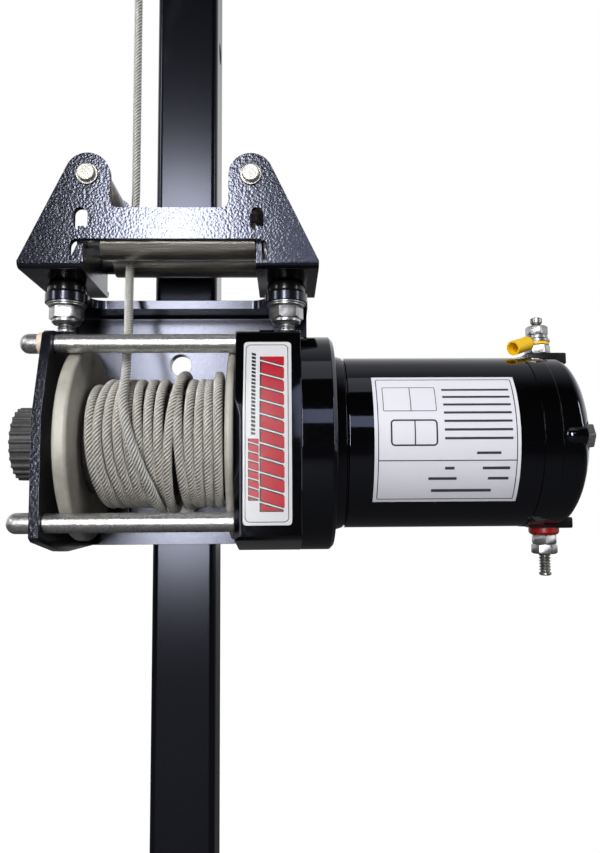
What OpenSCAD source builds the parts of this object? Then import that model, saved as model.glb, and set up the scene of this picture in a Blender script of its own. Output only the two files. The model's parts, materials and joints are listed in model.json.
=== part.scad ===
/* [Hitch] */
// Outer side of the square shank that slides into the receiver
shank_w = 50.8; // [45:0.1:60]
// Wall of the shank tube
shank_wall = 6.35; // [4:0.05:8]
// Distance from the hitch pin to the middle of the mast
reach = 200; // [160:1:260]
// Shank length behind the hitch pin
shank_tail = 65; // [45:1:90]
// Diameter of the hitch pin hole
hitch_pin_d = 16.3; // [14:0.1:20]
// Height of the mast socket's mouth above the hitch pin
socket_h = 95; // [85:1:110]
// Wall of the mast socket
socket_wall = 6.05; // [5:0.05:8]

/* [Mast] */
// Outer side of the square mast tube
mast_w = 38.1; // [36:0.1:40]
// Wall of the mast tube
mast_wall = 3.2; // [2.5:0.1:4]
// Length of the mast tube
mast_l = 755; // [715:5:855]
// Corner radius of the mast tube
mast_r = 4; // [3:0.5:6]
// Diameter of the mast's cross-bolt holes
mast_hole_d = 13; // [12.5:0.1:15]
// Distance between the two joint holes at the mast's top
mast_joint_pitch = 50; // [40:1:60]

/* [Mount plate] */
// Height of the winch axis above the hitch pin
winch_z = 395; // [385:1:420]
// Distance from the winch axis to the mast's front face
winch_standoff = 62; // [61:0.5:68]
// Thickness of the bent mount plate
plate_t = 5; // [4:0.5:6]
// Width of the mount plate
plate_w = 149; // [147:1:156]
// How far the plate reaches below the winch axis
plate_drop = 56; // [55:0.5:62]
// Height of the plate's top flange, underside, above the winch axis
flange_z = 81; // [79:0.5:86]
// Diameter of the open hole in the plate
sight_hole_d = 13; // [10:0.5:14]

/* [Fairlead] */
// Distance between the two fairlead bolts
bolt_pitch = 124; // [122:0.5:126]
// Overall width of the fairlead bracket
fair_w = 158.8; // [156:0.1:162]
// Overall depth of the fairlead bracket
fair_d = 64; // [62:0.5:68]
// Sheet thickness of the fairlead bracket
fair_t = 4; // [3:0.5:4.5]
// Height of the roller pins in the ears above the base's underside
ear_pin_h = 50.6; // [49:0.5:56]
// Distance between the two side rollers' pins
ear_pitch = 86.8; // [84:0.2:88]
// Diameter of the long rollers
long_roller_d = 20; // [18:0.5:21]
// Diameter of the side rollers
side_roller_d = 20; // [18:0.5:21]
// Length of the long rollers
long_roller_l = 84; // [82:0.5:86]
// Distance between the long rollers' axes
long_roller_pitch = 32; // [30:0.5:33]
// Diameter of the roller pins
roller_pin_d = 6.4; // [5:0.1:7]

/* [Drum] */
// Diameter of the drum's core
drum_d = 31.5; // [30:0.5:34]
// Diameter of the drum's flanges
drum_flange_d = 100; // [96:0.5:101]
// Clear length between the drum's flanges
drum_l = 72; // [71:0.5:75]
// Thickness of the left drum flange
flange_left_t = 7; // [5:0.5:7.5]
// Rope diameter
rope_d = 5; // [4.6:0.1:5]
// Distance from turn to turn along the drum
rope_pitch = 5.45; // [5.45:0.01:5.6]
// Turns in the outer layer
rope_turns = 11.5; // [8.5:1:11.5]
// Distance of the outer layer's middle from the winch axis
wound_r = 31.3; // [30.5:0.1:31.5]

/* [Gearbox] */
// Teeth on each sun gear
sun_z = 14; // [14:14:14]
// Teeth on each planet gear
planet_z = 28; // [28:28:28]
// Tooth module
gear_m = 1; // [0.9:0.05:1]
// Width of the black gear housing along the winch
housing_l = 31.1; // [31:0.1:33]
// Diameter of the round motor flange
motor_flange_d = 110.5; // [100:0.5:112]
// Length of the round motor flange
motor_flange_l = 16.6; // [16:0.1:20]

/* [Motor] */
// Diameter of the motor tube
motor_d = 88.4; // [84:0.2:90]
// Wall of the motor tube
motor_wall = 3.5; // [3:0.1:4]
// Length of the motor tube
motor_l = 92; // [90:1:100]
// Length of the motor's end cap
cap_l = 30; // [28:0.5:36]
// Diameter of the terminal studs
stud_d = 6.2; // [5.8:0.1:6.4]

/* [Tie bars] */
// Diameter of the two tie bars
tie_d = 9.2; // [8:0.1:9.4]
// Thickness of the left end plate
end_plate_t = 4.5; // [4:0.1:5.5]

/* [Clutch] */
// Diameter of the clutch knob
knob_d = 38; // [34:0.5:42]
// Length of the clutch knob
knob_l = 15; // [13:0.5:17]
// How far the knob pulls out
clutch_travel = 8; // [7.5:0.1:8.5]
// Diameter of the clutch shaft
clutch_shaft_d = 8; // [7:0.5:9]

/* [Hook] */
// Height of the rope's ferrule above the winch axis
ferrule_z = 272; // [272:1:280]
// Thickness of the hook's bow
hook_t = 10; // [8:0.5:11]
// Inner radius of the hook's bow
hook_r = 13; // [11:0.5:15]

/* [Hidden] */

$fn = 48;

// Overrun of a cut past the face it opens
cut = 1;
// Clearance of a running fit, on the radius
run_gap = 0.06;
// Gap between parts that face each other without touching
face_gap = 0.3;
// Clearance of a bolt in its hole, on the radius
bolt_gap = 0.25;
// Clearance between the mast and its socket, on each side
mast_gap = 0.3;

// Places of the main axes
mast_y = -reach;
mast_front_y = mast_y - mast_w / 2;
winch_y = mast_front_y - winch_standoff;
socket_w = mast_w + 2 * (mast_gap + socket_wall);
socket_floor_t = 6;
socket_bottom = -shank_w / 2;
mast_bottom = socket_bottom + socket_floor_t;
mast_top = mast_bottom + mast_l;
mast_end_margin = 25;
socket_bolt_z = 60;
gusset_t = 6;
gusset_h = 56;
gusset_l = 80;
bolt12_d = 12;
bolt12_af = 18;
bolt12_head_h = 7.5;
bolt12_nut_h = 10;

// Moves a piece from the winch's own frame to the part's frame
module at_winch() {
    translate([0, winch_y, winch_z]) children();
}

// Turns a piece drawn along Z so that it runs along X from the given place
module along_x(x = 0) {
    translate([x, 0, 0]) rotate([90, 0, 90]) children();
}

// A piece drawn along Z, laid along Y from the given place
module along_y(y = 0) {
    translate([0, y, 0]) rotate([-90, 0, 0]) children();
}

// A tube section: a square with rounded corners
module rounded_square(w, r) {
    square([w - 2 * r, w], center = true);
    square([w, w - 2 * r], center = true);
    for (sx = [-1, 1], sy = [-1, 1]) translate([sx * (w / 2 - r), sy * (w / 2 - r)]) circle(r);
}

// Hexagonal prism by its width across flats
module hex_prism(af, h) {
    cylinder(h = h, d = af / cos(30), $fn = 6);
}

// Round bar with a hole
module ring(d_out, d_in, h) {
    difference() {
        cylinder(h = h, d = d_out);
        translate([0, 0, -cut]) cylinder(h = h + 2 * cut, d = d_in);
    }
}

// Hitch base

module hitch_shank() {
    color("#2b2c30") difference() {
        translate([0, mast_y + socket_w / 2, 0]) rotate([-90, 0, 0])
            linear_extrude(reach - socket_w / 2 + shank_tail) difference() {
                rounded_square(shank_w, shank_wall);
                rounded_square(shank_w - 2 * shank_wall, shank_wall / 2);
            }
        along_x(-shank_w) cylinder(h = 2 * shank_w, d = hitch_pin_d);
    }
}

module mast_socket() {
    color("#2b2c30") difference() {
        translate([0, mast_y, socket_bottom]) linear_extrude(socket_h - socket_bottom)
            square(socket_w, center = true);
        translate([0, mast_y, mast_bottom]) linear_extrude(socket_h - mast_bottom + cut)
            square(mast_w + 2 * mast_gap, center = true);
        translate([0, mast_y, socket_bolt_z]) along_x(-socket_w)
            cylinder(h = 2 * socket_w, d = mast_hole_d);
    }
}

module socket_gusset() {
    back = mast_y + socket_w / 2;
    color("#2b2c30") translate([-gusset_t / 2, back, shank_w / 2]) rotate([90, 0, 90])
        linear_extrude(gusset_t) polygon([[0, 0], [gusset_l, 0], [0, gusset_h]]);
}

// Hexagon bolt along +X: head at x = 0, nut beyond the grip, both outside the grip
module through_bolt(d, grip, af, head_h, nut_h) {
    along_x(-head_h) hex_prism(af, head_h);
    along_x(0) cylinder(h = grip + nut_h + d / 3, d = d);
    along_x(grip) hex_prism(af, nut_h);
}

module socket_bolt() {
    color("silver") translate([-socket_w / 2, mast_y, socket_bolt_z])
        through_bolt(bolt12_d, socket_w, bolt12_af, bolt12_head_h, bolt12_nut_h);
}

// Mast

bolt_rows = [18, -32];
sight_hole_x = -2;
sight_hole_z = 51.7;
mast_window_d = 25;
mast_window_rise = 6;

module mast_tube() {
    color("#23242a") difference() {
        translate([0, mast_y, mast_bottom]) linear_extrude(mast_l) difference() {
            rounded_square(mast_w, mast_r);
            rounded_square(mast_w - 2 * mast_wall, mast_r - mast_wall / 2);
        }
        for (z = [socket_bolt_z, mast_top - mast_end_margin, mast_top - mast_end_margin - mast_joint_pitch])
            translate([0, mast_y, z]) along_x(-mast_w) cylinder(h = 2 * mast_w, d = mast_hole_d);
        for (z = bolt_rows) translate([0, 0, winch_z + z]) along_y(mast_y - mast_w)
            cylinder(h = 2 * mast_w, d = mast_hole_d);
        translate([sight_hole_x, 0, winch_z + sight_hole_z]) along_y(mast_y - mast_w)
            cylinder(h = mast_w, d = sight_hole_d);
        translate([sight_hole_x, 0, winch_z + sight_hole_z + mast_window_rise]) along_y(mast_y)
            cylinder(h = mast_w, d = mast_window_d);
    }
}

// Bent mount plate

plate_y = winch_standoff - plate_t;
bolt10_d = 10;
ear_r = 12;
fair_y = 25;
recess_y = 36;
recess_half = 40;
recess_fillet = 8;
winch_bolt_x = [-44, 53];
winch_bolt_z = 30;
bolt8_d = 8;

// Top flange seen from above: two round ears around the bolts, a straight recess between them
module flange_outline() {
    half = plate_w / 2;
    inner = bolt_pitch / 2 - ear_r;
    difference() {
        union() {
            translate([-half, recess_y]) square([plate_w, winch_standoff - recess_y]);
            for (s = [-1, 1]) {
                translate([s * bolt_pitch / 2, fair_y]) circle(ear_r);
                translate([s * bolt_pitch / 2 - ear_r, fair_y]) square([2 * ear_r, recess_y - fair_y + cut]);
                translate([s * (inner - recess_fillet / 2) - recess_fillet / 2, recess_y - recess_fillet])
                    square(recess_fillet);
            }
        }
        for (s = [-1, 1]) translate([s * (inner - recess_fillet), recess_y - recess_fillet])
            circle(recess_fillet);
    }
}

module mount_plate() {
    color("#3a3a44") at_winch() difference() {
        union() {
            translate([0, 0, flange_z]) linear_extrude(plate_t) flange_outline();
            translate([-plate_w / 2, plate_y, -plate_drop])
                cube([plate_w, plate_t, plate_drop + flange_z]);
        }
        for (s = [-1, 1]) translate([s * bolt_pitch / 2, fair_y, flange_z - cut])
            cylinder(h = plate_t + 2 * cut, d = bolt10_d + 2 * bolt_gap);
        translate([sight_hole_x, 0, sight_hole_z]) along_y(plate_y - cut)
            cylinder(h = plate_t + 2 * cut, d = sight_hole_d);
        for (z = bolt_rows) translate([0, 0, z]) along_y(plate_y - cut)
            cylinder(h = plate_t + 2 * cut, d = mast_hole_d);
        for (x = winch_bolt_x, s = [-1, 1]) translate([x, 0, s * winch_bolt_z]) along_y(plate_y - cut)
            cylinder(h = plate_t + 2 * cut, d = bolt8_d + 2 * bolt_gap);
    }
}

// Two bolts that clamp the plate to the mast, heads in front, nuts behind the mast
bolt12_head = 7.5;
module mast_bolts() {
    grip = plate_t + mast_w;
    color("silver") at_winch() for (z = bolt_rows) translate([0, plate_y, z]) {
        along_y(-bolt12_head) hex_prism(18, bolt12_head);
        along_y(0) cylinder(h = grip + 14, d = bolt12_d);
        along_y(grip) hex_prism(18, 10);
    }
}

// Four bolts from behind into the winch's feet
winch_bolt_depth = 8;
module winch_bolts() {
    color("silver") at_winch() for (x = winch_bolt_x, s = [-1, 1]) translate([x, winch_standoff, s * winch_bolt_z]) {
        along_y(0) ring(16, bolt8_d, 1.6);
        along_y(1.6) hex_prism(13, 5.3);
        along_y(-plate_t - winch_bolt_depth + foot_t / 2) cylinder(h = plate_t + winch_bolt_depth, d = bolt8_d);
    }
}

// Fairlead

spacer_h = 6.5;
spacer_d = 21.5;
fair_z = flange_z + plate_t + spacer_h;
fair_front = fair_y - fair_d / 2;
fair_back = fair_y + fair_d / 2;
ear_pin_z = fair_z + ear_pin_h;
ear_round = 12;
valley_h = 32.5;
valley_fillet = 4;
window_half = 52;
window_h = 15.5;
window_fillet = 4;
corner_h = 3.5;
slot_w = 7.4;
slot_h = 12.7;
slot_x = 46.5;
slot_lift = 26.3;
long_roller_z = fair_z + fair_t + 15;
tab_x = 46;
// The long rollers lie pushed against the right tab
long_roller_shift = tab_x - long_roller_l / 2 - face_gap;
tab_t = 3;
tab_h = 24;

// Where the slanted edge touches the ear's round top: the angle of the tangent from the corner
function tangent_angle(dx, dz, r) = atan2(dz, dx) + asin(r / sqrt(dx * dx + dz * dz));

// One flange's outline, seen from the front: two ears, a valley between them and a window below
module fair_flange_outline() {
    ear_x = ear_pitch / 2;
    half = fair_w / 2;
    valley_x = ear_x - ear_round;
    a = tangent_angle(half - ear_x, ear_pin_h - corner_h, ear_round);
    touch = [ear_x + ear_round * sin(a), ear_pin_h + ear_round * cos(a)];
    difference() {
        union() {
            polygon([
                [-half, 0], [half, 0], [half, corner_h], touch, [ear_x, ear_pin_h], [valley_x, ear_pin_h],
                [valley_x, valley_h], [-valley_x, valley_h], [-valley_x, ear_pin_h], [-ear_x, ear_pin_h],
                [-touch[0], touch[1]], [-half, corner_h]
            ]);
            for (s = [-1, 1]) {
                translate([s * ear_x, ear_pin_h]) circle(ear_round);
                difference() {
                    translate([s * (valley_x - valley_fillet / 2) - valley_fillet / 2, valley_h])
                        square(valley_fillet);
                    translate([s * (valley_x - valley_fillet), valley_h + valley_fillet]) circle(valley_fillet);
                }
            }
        }
        translate([-window_half, -cut]) square([2 * window_half, window_h - window_fillet + cut]);
        translate([window_fillet - window_half, 0])
            square([2 * (window_half - window_fillet), window_h]);
        for (s = [-1, 1]) {
            translate([s * (window_half - window_fillet), window_h - window_fillet]) circle(window_fillet);
            translate([s * ear_x, ear_pin_h]) circle(d = roller_pin_d + 2 * run_gap);
            for (t = [-1, 1]) translate([s * slot_x, slot_lift + t * (slot_h - slot_w) / 2]) circle(d = slot_w);
            translate([s * slot_x - slot_w / 2, slot_lift - (slot_h - slot_w) / 2])
                square([slot_w, slot_h - slot_w]);
        }
    }
}

// Upright tab at each end of the base's window, which carries the long rollers' pins
module roller_tabs() {
    for (s = [-1, 1]) difference() {
        translate([s * (tab_x + tab_t / 2) - tab_t / 2, fair_front + fair_t + face_gap, fair_z])
            cube([tab_t, fair_d - 2 * (fair_t + face_gap), tab_h]);
        for (t = [-1, 1]) translate([0, fair_y + t * long_roller_pitch / 2, long_roller_z])
            along_x(s * (tab_x + tab_t / 2) - tab_t) cylinder(h = 2 * tab_t, d = roller_pin_d + 2 * run_gap);
    }
}

module fairlead_bracket() {
    window_d = fair_d - 2 * fair_t;
    color("#26262c") at_winch() difference() {
        union() {
            for (y = [fair_front, fair_back - fair_t]) translate([0, y + fair_t, fair_z]) rotate([90, 0, 0])
                linear_extrude(fair_t) fair_flange_outline();
            difference() {
                translate([-fair_w / 2, fair_front, fair_z]) cube([fair_w, fair_d, fair_t]);
                translate([-tab_x, fair_front - cut, fair_z - cut])
                    cube([2 * tab_x, fair_d + 2 * cut, fair_t + 2 * cut]);
            }
            roller_tabs();
        }
        for (s = [-1, 1]) translate([s * bolt_pitch / 2, fair_y, fair_z - cut])
            cylinder(h = fair_t + 2 * cut, d = bolt10_d + 2 * bolt_gap);
    }
}

carriage_head_h = 4;
carriage_head_d = 20;
nut10_h = 10;
nut10_af = 17;
washer10_t = 2;
stud_end = 5;

module fairlead_bolts() {
    low = flange_z - washer10_t - nut10_h - stud_end;
    top = fair_z + fair_t;
    color("silver") at_winch() for (s = [-1, 1]) translate([s * bolt_pitch / 2, fair_y, 0]) {
        translate([0, 0, low]) cylinder(h = top - low, d = bolt10_d);
        translate([0, 0, top]) cylinder(h = carriage_head_h, d1 = carriage_head_d, d2 = bolt10_d, $fn = 48);
    }
}

module fairlead_spacers() {
    color("#1c1c20") at_winch() for (s = [-1, 1])
        translate([s * bolt_pitch / 2, fair_y, flange_z + plate_t]) ring(spacer_d, bolt10_d, spacer_h);
}

// Washer and locking nut under the mount plate's ear
module fairlead_nuts() {
    hex_h = nut10_h * 0.7;
    color("silver") at_winch() for (s = [-1, 1]) translate([s * bolt_pitch / 2, fair_y, flange_z]) {
        translate([0, 0, -washer10_t]) ring(2 * ear_r - 2, bolt10_d, washer10_t);
        difference() {
            union() {
                translate([0, 0, -washer10_t - hex_h]) hex_prism(nut10_af, hex_h);
                translate([0, 0, -washer10_t - nut10_h]) cylinder(h = nut10_h, d = nut10_af * 0.94);
            }
            translate([0, 0, -washer10_t - nut10_h - cut]) cylinder(h = nut10_h + 2 * cut, d = bolt10_d);
        }
    }
}

module long_roller(side) {
    color("#78736a") at_winch() translate([0, fair_y + side * long_roller_pitch / 2, long_roller_z])
        along_x(long_roller_shift - long_roller_l / 2) ring(long_roller_d, roller_pin_d + 2 * run_gap, long_roller_l);
}
module long_roller_front() { long_roller(-1); }
module long_roller_rear() { long_roller(1); }

side_roller_l = fair_d - 2 * fair_t - 2 * face_gap;
module side_roller(side) {
    color("#78736a") at_winch() translate([side * ear_pitch / 2, 0, ear_pin_z])
        along_y(fair_y - side_roller_l / 2) ring(side_roller_d, roller_pin_d + 2 * run_gap, side_roller_l);
}
module side_roller_left() { side_roller(-1); }
module side_roller_right() { side_roller(1); }

pin_head_d = 9.4;
pin_head_h = 2.6;
pin_tail = 4;
clip_d = 11.6;
clip_t = 1.2;

module long_roller_pins() {
    outer = tab_x + tab_t;
    color("silver") at_winch() for (t = [-1, 1])
        translate([0, fair_y + t * long_roller_pitch / 2, long_roller_z]) {
            along_x(-outer) cylinder(h = 2 * outer + pin_tail / 2, d = roller_pin_d);
            along_x(-outer - pin_head_h) cylinder(h = pin_head_h, d = pin_head_d);
        }
}

module side_roller_pins() {
    color("silver") at_winch() for (s = [-1, 1]) translate([s * ear_pitch / 2, 0, ear_pin_z]) {
        along_y(fair_front - clip_t) cylinder(h = fair_d + clip_t + pin_tail, d = roller_pin_d);
        along_y(fair_front - clip_t - pin_head_h) cylinder(h = pin_head_h, d = pin_head_d);
    }
}

// Washers under the side pins' heads and retaining clips on all four pins' tails
module roller_clips() {
    color("silver") at_winch() {
        for (s = [-1, 1]) translate([s * ear_pitch / 2, 0, ear_pin_z]) {
            along_y(fair_front - clip_t) ring(clip_d, roller_pin_d, clip_t);
            along_y(fair_back) ring(clip_d, roller_pin_d, clip_t);
        }
        for (t = [-1, 1]) translate([0, fair_y + t * long_roller_pitch / 2, long_roller_z])
            along_x(tab_x + tab_t) ring(clip_d, roller_pin_d, clip_t);
    }
}

// Winch frame: the left end plate and the gear housing share one side view

front_y = -48;
front_low_z = -46;
front_high_z = 10;
brow_y = -36;
brow_z = 51;
rear_top_z = 58;
keel_y = -12;
keel_z = -55.5;
end_plate_x = -51;
foot_t = 5;
foot_reach = 20;
foot_half = 42;
tie_upper = [-28.7, 47.2];
tie_lower = [-40, -39.6];
tie_places = [tie_upper, tie_lower];
tie_bolt_d = 6;
bush_d = 26;

// Side view of the winch's end pieces, with y to the back and z up
module side_outline() {
    polygon([
        [front_y, front_low_z], [front_y, front_high_z], [brow_y, brow_z], [brow_y * 0.9, brow_z + 2],
        [0, rear_top_z], [plate_y, rear_top_z], [plate_y, keel_z], [0, keel_z], [keel_y, keel_z + 1],
        [front_y + 3, front_low_z - 2]
    ]);
}

module end_plate() {
    color("#26262c") at_winch() difference() {
        union() {
            along_x(end_plate_x - end_plate_t) linear_extrude(end_plate_t) side_outline();
            translate([end_plate_x - cut, plate_y - foot_t, -foot_half]) cube([foot_reach + cut, foot_t, 2 * foot_half]);
        }
        along_x(end_plate_x - end_plate_t - cut) cylinder(h = end_plate_t + 2 * cut, d = bush_d);
        for (p = tie_places) translate([0, p[0], p[1]]) along_x(end_plate_x - end_plate_t - cut)
            cylinder(h = end_plate_t + 2 * cut, d = tie_bolt_d + 2 * bolt_gap);
        for (s = [-1, 1]) translate([winch_bolt_x[0], 0, s * winch_bolt_z]) along_y(plate_y - foot_t - cut)
            cylinder(h = foot_t + 2 * cut, d = bolt8_d);
    }
}

// Drum

drum_left = -39;
drum_right = drum_left + drum_l;
flange_right_t = 4;
journal_d = 20;
housing_x = drum_right + flange_right_t + face_gap + 0.2;
housing_end = housing_x + housing_l;
wall_t = 4;
hub_d = 34;
dog_af = 16;
dog_gap = 0.12;
dog_socket_x = 4;
hub_end = housing_x + wall_t + face_gap;
journal_end = end_plate_x - end_plate_t - 1;

module tie_bars() {
    color("#b9bac4") at_winch() for (p = tie_places) translate([0, p[0], p[1]]) along_x(end_plate_x)
        ring(tie_d, tie_bolt_d, housing_x - end_plate_x);
}

tie_head_l = 8;
tie_head_d = 9.8;
tie_thread = 12;
// Rods through the tie bars: a rounded cap head outside the end plate, a thread in the gear housing
module tie_bolts() {
    outer = end_plate_x - end_plate_t;
    color("#b9bac4") at_winch() for (p = tie_places) translate([0, p[0], p[1]]) {
        along_x(outer - tie_head_l) cylinder(h = tie_head_l, d = tie_head_d);
        translate([outer - tie_head_l, 0, 0]) intersection() {
            sphere(d = tie_head_d);
            translate([-tie_head_d, -tie_head_d / 2, -tie_head_d / 2]) cube(tie_head_d);
        }
        along_x(outer) cylinder(h = housing_x + tie_thread - outer, d = tie_bolt_d);
    }
}

module clutch_bush() {
    rim = 3;
    color("#e6dfc4") at_winch() {
        along_x(end_plate_x - end_plate_t) ring(bush_d, journal_d + 2 * run_gap, end_plate_t);
        along_x(end_plate_x - end_plate_t - rim) ring(bush_d + 2 * rim, journal_d + 2 * run_gap, rim);
    }
}

module drum_core() {
    color("#a9a8a2") at_winch() difference() {
        union() {
            along_x(drum_left - flange_left_t) cylinder(h = drum_l + flange_left_t + flange_right_t, d = drum_d);
            along_x(journal_end) cylinder(h = drum_left - flange_left_t - journal_end + cut, d = journal_d);
            along_x(drum_right + flange_right_t) cylinder(h = hub_end - drum_right - flange_right_t, d = hub_d);
        }
        along_x(journal_end - cut) cylinder(h = drum_l * 2, d = clutch_shaft_d + 2 * run_gap);
        along_x(dog_socket_x) hex_prism(dog_af + 2 * dog_gap, drum_l);
    }
}

rim_round = 1.2;
module drum_flange(x, t) {
    along_x(x) rotate_extrude() polygon([
        [drum_d / 2, 0], [drum_flange_d / 2 - rim_round, 0], [drum_flange_d / 2, rim_round],
        [drum_flange_d / 2, t - rim_round], [drum_flange_d / 2 - rim_round, t], [drum_d / 2, t]
    ]);
}
module drum_flanges() {
    color("#c8c3b4") at_winch() {
        drum_flange(drum_left - flange_left_t, flange_left_t);
        drum_flange(drum_right, flange_right_t);
    }
}

// Rope on the drum

rope_r = rope_d / 2;
wound_start = drum_left + 5.7;
wound_steps = 24;
inner_layers_d = 2 * (wound_r - rope_d / 2) * cos(180 / wound_steps) - 2 * run_gap;
low_turn_drop = 3;
stray_rise = 3.2;
stray_turns = [7.95, 11.05];
stray_width = 0.12;

module rope_inner_layers() {
    color("#8d887c") at_winch() along_x(drum_left + face_gap)
        ring(inner_layers_d - 2 * low_turn_drop, drum_d, drum_l - 2 * face_gap);
}

function unit(v) = v / norm(v);

// Height of a turn over the layer: low at the start, with two stray turns that ride up
function turn_rise(t) = -low_turn_drop * max(0, 1 - t / 1.5)
    + stray_rise * (exp(-pow((t - stray_turns[0]) / stray_width, 2)) + exp(-pow((t - stray_turns[1]) / stray_width, 2)));

// Middle of the wound rope after t turns: down at the front, to the right with each turn
function wound_point(t) = let (r = wound_r + turn_rise(t), a = 90 + 360 * t)
    [wound_start + rope_pitch * t, r * cos(a), r * sin(a)];

wound_count = rope_turns * wound_steps;
wound_body = [for (i = [0 : wound_count]) wound_point(i / wound_steps)];
wound_first = wound_body[0] + rope_d * unit(wound_body[0] - wound_body[1]);
wound_last = wound_body[wound_count] + rope_d * unit(wound_body[wound_count] - wound_body[wound_count - 1]);
wound_path = concat([wound_first], wound_body, [wound_last]);

// Least gap between turns, on points at least half a turn apart
wound_gap = min([for (i = [0 : wound_count - wound_steps / 2])
    min([for (j = [i + wound_steps / 2 : wound_count]) norm(wound_body[i] - wound_body[j])])]) - rope_d;
echo(least_gap_between_turns = wound_gap);

function path_tangent(p, i) = unit(p[min(i + 1, len(p) - 1)] - p[max(i - 1, 0)]);

// A round tube along points, as one closed mesh: rings square to the path and two end fans
module swept_tube(path, r, sides) {
    n = len(path);
    rings = [for (i = [0 : n - 1]) let (t = path_tangent(path, i), u = unit(cross(t, [1, 0, 0])), v = cross(t, u))
        each [for (k = [0 : sides - 1]) path[i] + r * (cos(360 * k / sides) * u + sin(360 * k / sides) * v)]];
    points = concat(rings, [path[0], path[n - 1]]);
    walls = [for (i = [0 : n - 2], k = [0 : sides - 1]) let (a = i * sides + k, b = i * sides + (k + 1) % sides)
        each [[a, a + sides, b], [b, a + sides, b + sides]]];
    caps = [for (k = [0 : sides - 1]) let (m = (k + 1) % sides, e = (n - 1) * sides)
        each [[n * sides, k, m], [n * sides + 1, e + m, e + k]]];
    polyhedron(points = points, faces = concat(walls, caps));
}

module rope_winding() {
    color("#a8a296") at_winch() swept_tube(wound_path, rope_r, 6);
}

// Gears

pressure = 25;
backlash = 0.07;
addendum = 0.8;
dedendum = 1.08;
ring_z = 2 * planet_z + sun_z;
centre_r = gear_m * (sun_z + planet_z) / 2;

function involute(a) = tan(a) * 180 / PI - a;
// Half the angle that a tooth takes up at radius r; a negative slack makes a space instead
function tooth_half(z, r, slack) = let (rp = gear_m * z / 2, rb = rp * cos(pressure))
    90 / z - slack / rp * 90 / PI + involute(pressure) - involute(acos(min(1, rb / r)));
function tooth_point(r, a) = [r * cos(a), r * sin(a)];

// Outline of z teeth, the first one centred on +X
module gear_outline(z, slack, add, ded) {
    rp = gear_m * z / 2;
    root = rp - gear_m * ded;
    radii = [root, max(root, rp * cos(pressure)) + 0.01, rp, rp + gear_m * add];
    halves = [for (i = [0 : 3]) tooth_half(z, i == 0 ? radii[1] : radii[i], slack)];
    polygon([for (n = [0 : z - 1]) let (a = n * 360 / z) each concat(
        [for (i = [0 : 3]) tooth_point(radii[i], a - halves[i])],
        [for (i = [3 : -1 : 0]) tooth_point(radii[i], a + halves[i])]
    )]);
}

planet_w = 8.5;
carrier_second_x = hub_end + face_gap;
carrier_second_t = 6;
stage_second_x = carrier_second_x + carrier_second_t + 2 * face_gap;
carrier_first_x = stage_second_x + planet_w + 2;
carrier_first_t = 4;
stage_first_x = carrier_first_x + carrier_first_t + 2 * face_gap;
gear_end_x = stage_first_x + planet_w + 1;
planet_pin_d = 6;
carrier_r = centre_r + 7;
ring_gear_d = gear_m * ring_z + 12;

module ring_gear() {
    color("#8b8d92") at_winch() along_x(stage_second_x) linear_extrude(gear_end_x - stage_second_x) difference() {
        circle(d = ring_gear_d, $fn = 96);
        gear_outline(ring_z, -backlash, dedendum, addendum);
    }
}

// Plate with three pins for the planets; the sun of the next stage is fixed to its other side
module carrier_plate(x, t) {
    along_x(x) cylinder(h = t, r = carrier_r);
    for (k = [0 : 2]) along_x(x + t) rotate(120 * k) translate([centre_r, 0, 0])
        cylinder(h = planet_w + 3 * face_gap, d = planet_pin_d);
}

module sun_teeth(x, h) {
    along_x(x) linear_extrude(h) rotate(180 / sun_z) gear_outline(sun_z, backlash, addendum, dedendum);
}

module carrier_second() {
    color("#8b8d92") at_winch() difference() {
        carrier_plate(carrier_second_x, carrier_second_t);
        along_x(carrier_second_x - cut) hex_prism(dog_af + 2 * dog_gap, carrier_second_t + 2 * cut);
    }
}

module carrier_first() {
    color("#8b8d92") at_winch() {
        carrier_plate(carrier_first_x, carrier_first_t);
        sun_teeth(stage_second_x, carrier_first_x - stage_second_x);
    }
}

// A planet on its pin: turned as it would be after rolling round to its place
module planet(x, k) {
    a = 120 * k;
    color("#a3a4a8") at_winch() along_x(x) rotate(a) translate([centre_r, 0, 0])
        rotate(-a - a * (ring_z / planet_z - 1)) linear_extrude(planet_w) difference() {
            gear_outline(planet_z, backlash, addendum, dedendum);
            circle(d = planet_pin_d + 2 * run_gap);
        }
}
module planet_a1() { planet(stage_first_x, 0); }
module planet_a2() { planet(stage_first_x, 1); }
module planet_a3() { planet(stage_first_x, 2); }
module planet_b1() { planet(stage_second_x, 0); }
module planet_b2() { planet(stage_second_x, 1); }
module planet_b3() { planet(stage_second_x, 2); }

// Gear housing and the round flange that carries the motor

cavity_d = ring_gear_d;
edge_cut = 2.6;
module gear_housing() {
    color("#1d1d22") at_winch() difference() {
        along_x(housing_x) linear_extrude(housing_l) side_outline();
        along_x(housing_x + wall_t) cylinder(h = housing_l, d = cavity_d, $fn = 96);
        along_x(housing_x - cut) cylinder(h = wall_t + 2 * cut, d = hub_d + 6);
        for (p = tie_places) translate([0, p[0], p[1]]) along_x(housing_x - cut)
            cylinder(h = tie_thread + cut, d = tie_bolt_d);
        for (s = [-1, 1]) translate([winch_bolt_x[1], 0, s * winch_bolt_z]) along_y(plate_y - winch_bolt_depth)
            cylinder(h = winch_bolt_depth + cut, d = bolt8_d);
        translate([housing_x, front_y, 0]) rotate(45)
            cube([edge_cut * sqrt(2), edge_cut * sqrt(2), 4 * brow_z], center = true);
    }
}

module drum_bush() {
    color("#b08d4c") at_winch() along_x(housing_x) ring(hub_d + 6, hub_d + 2 * run_gap, wall_t);
}

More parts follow.
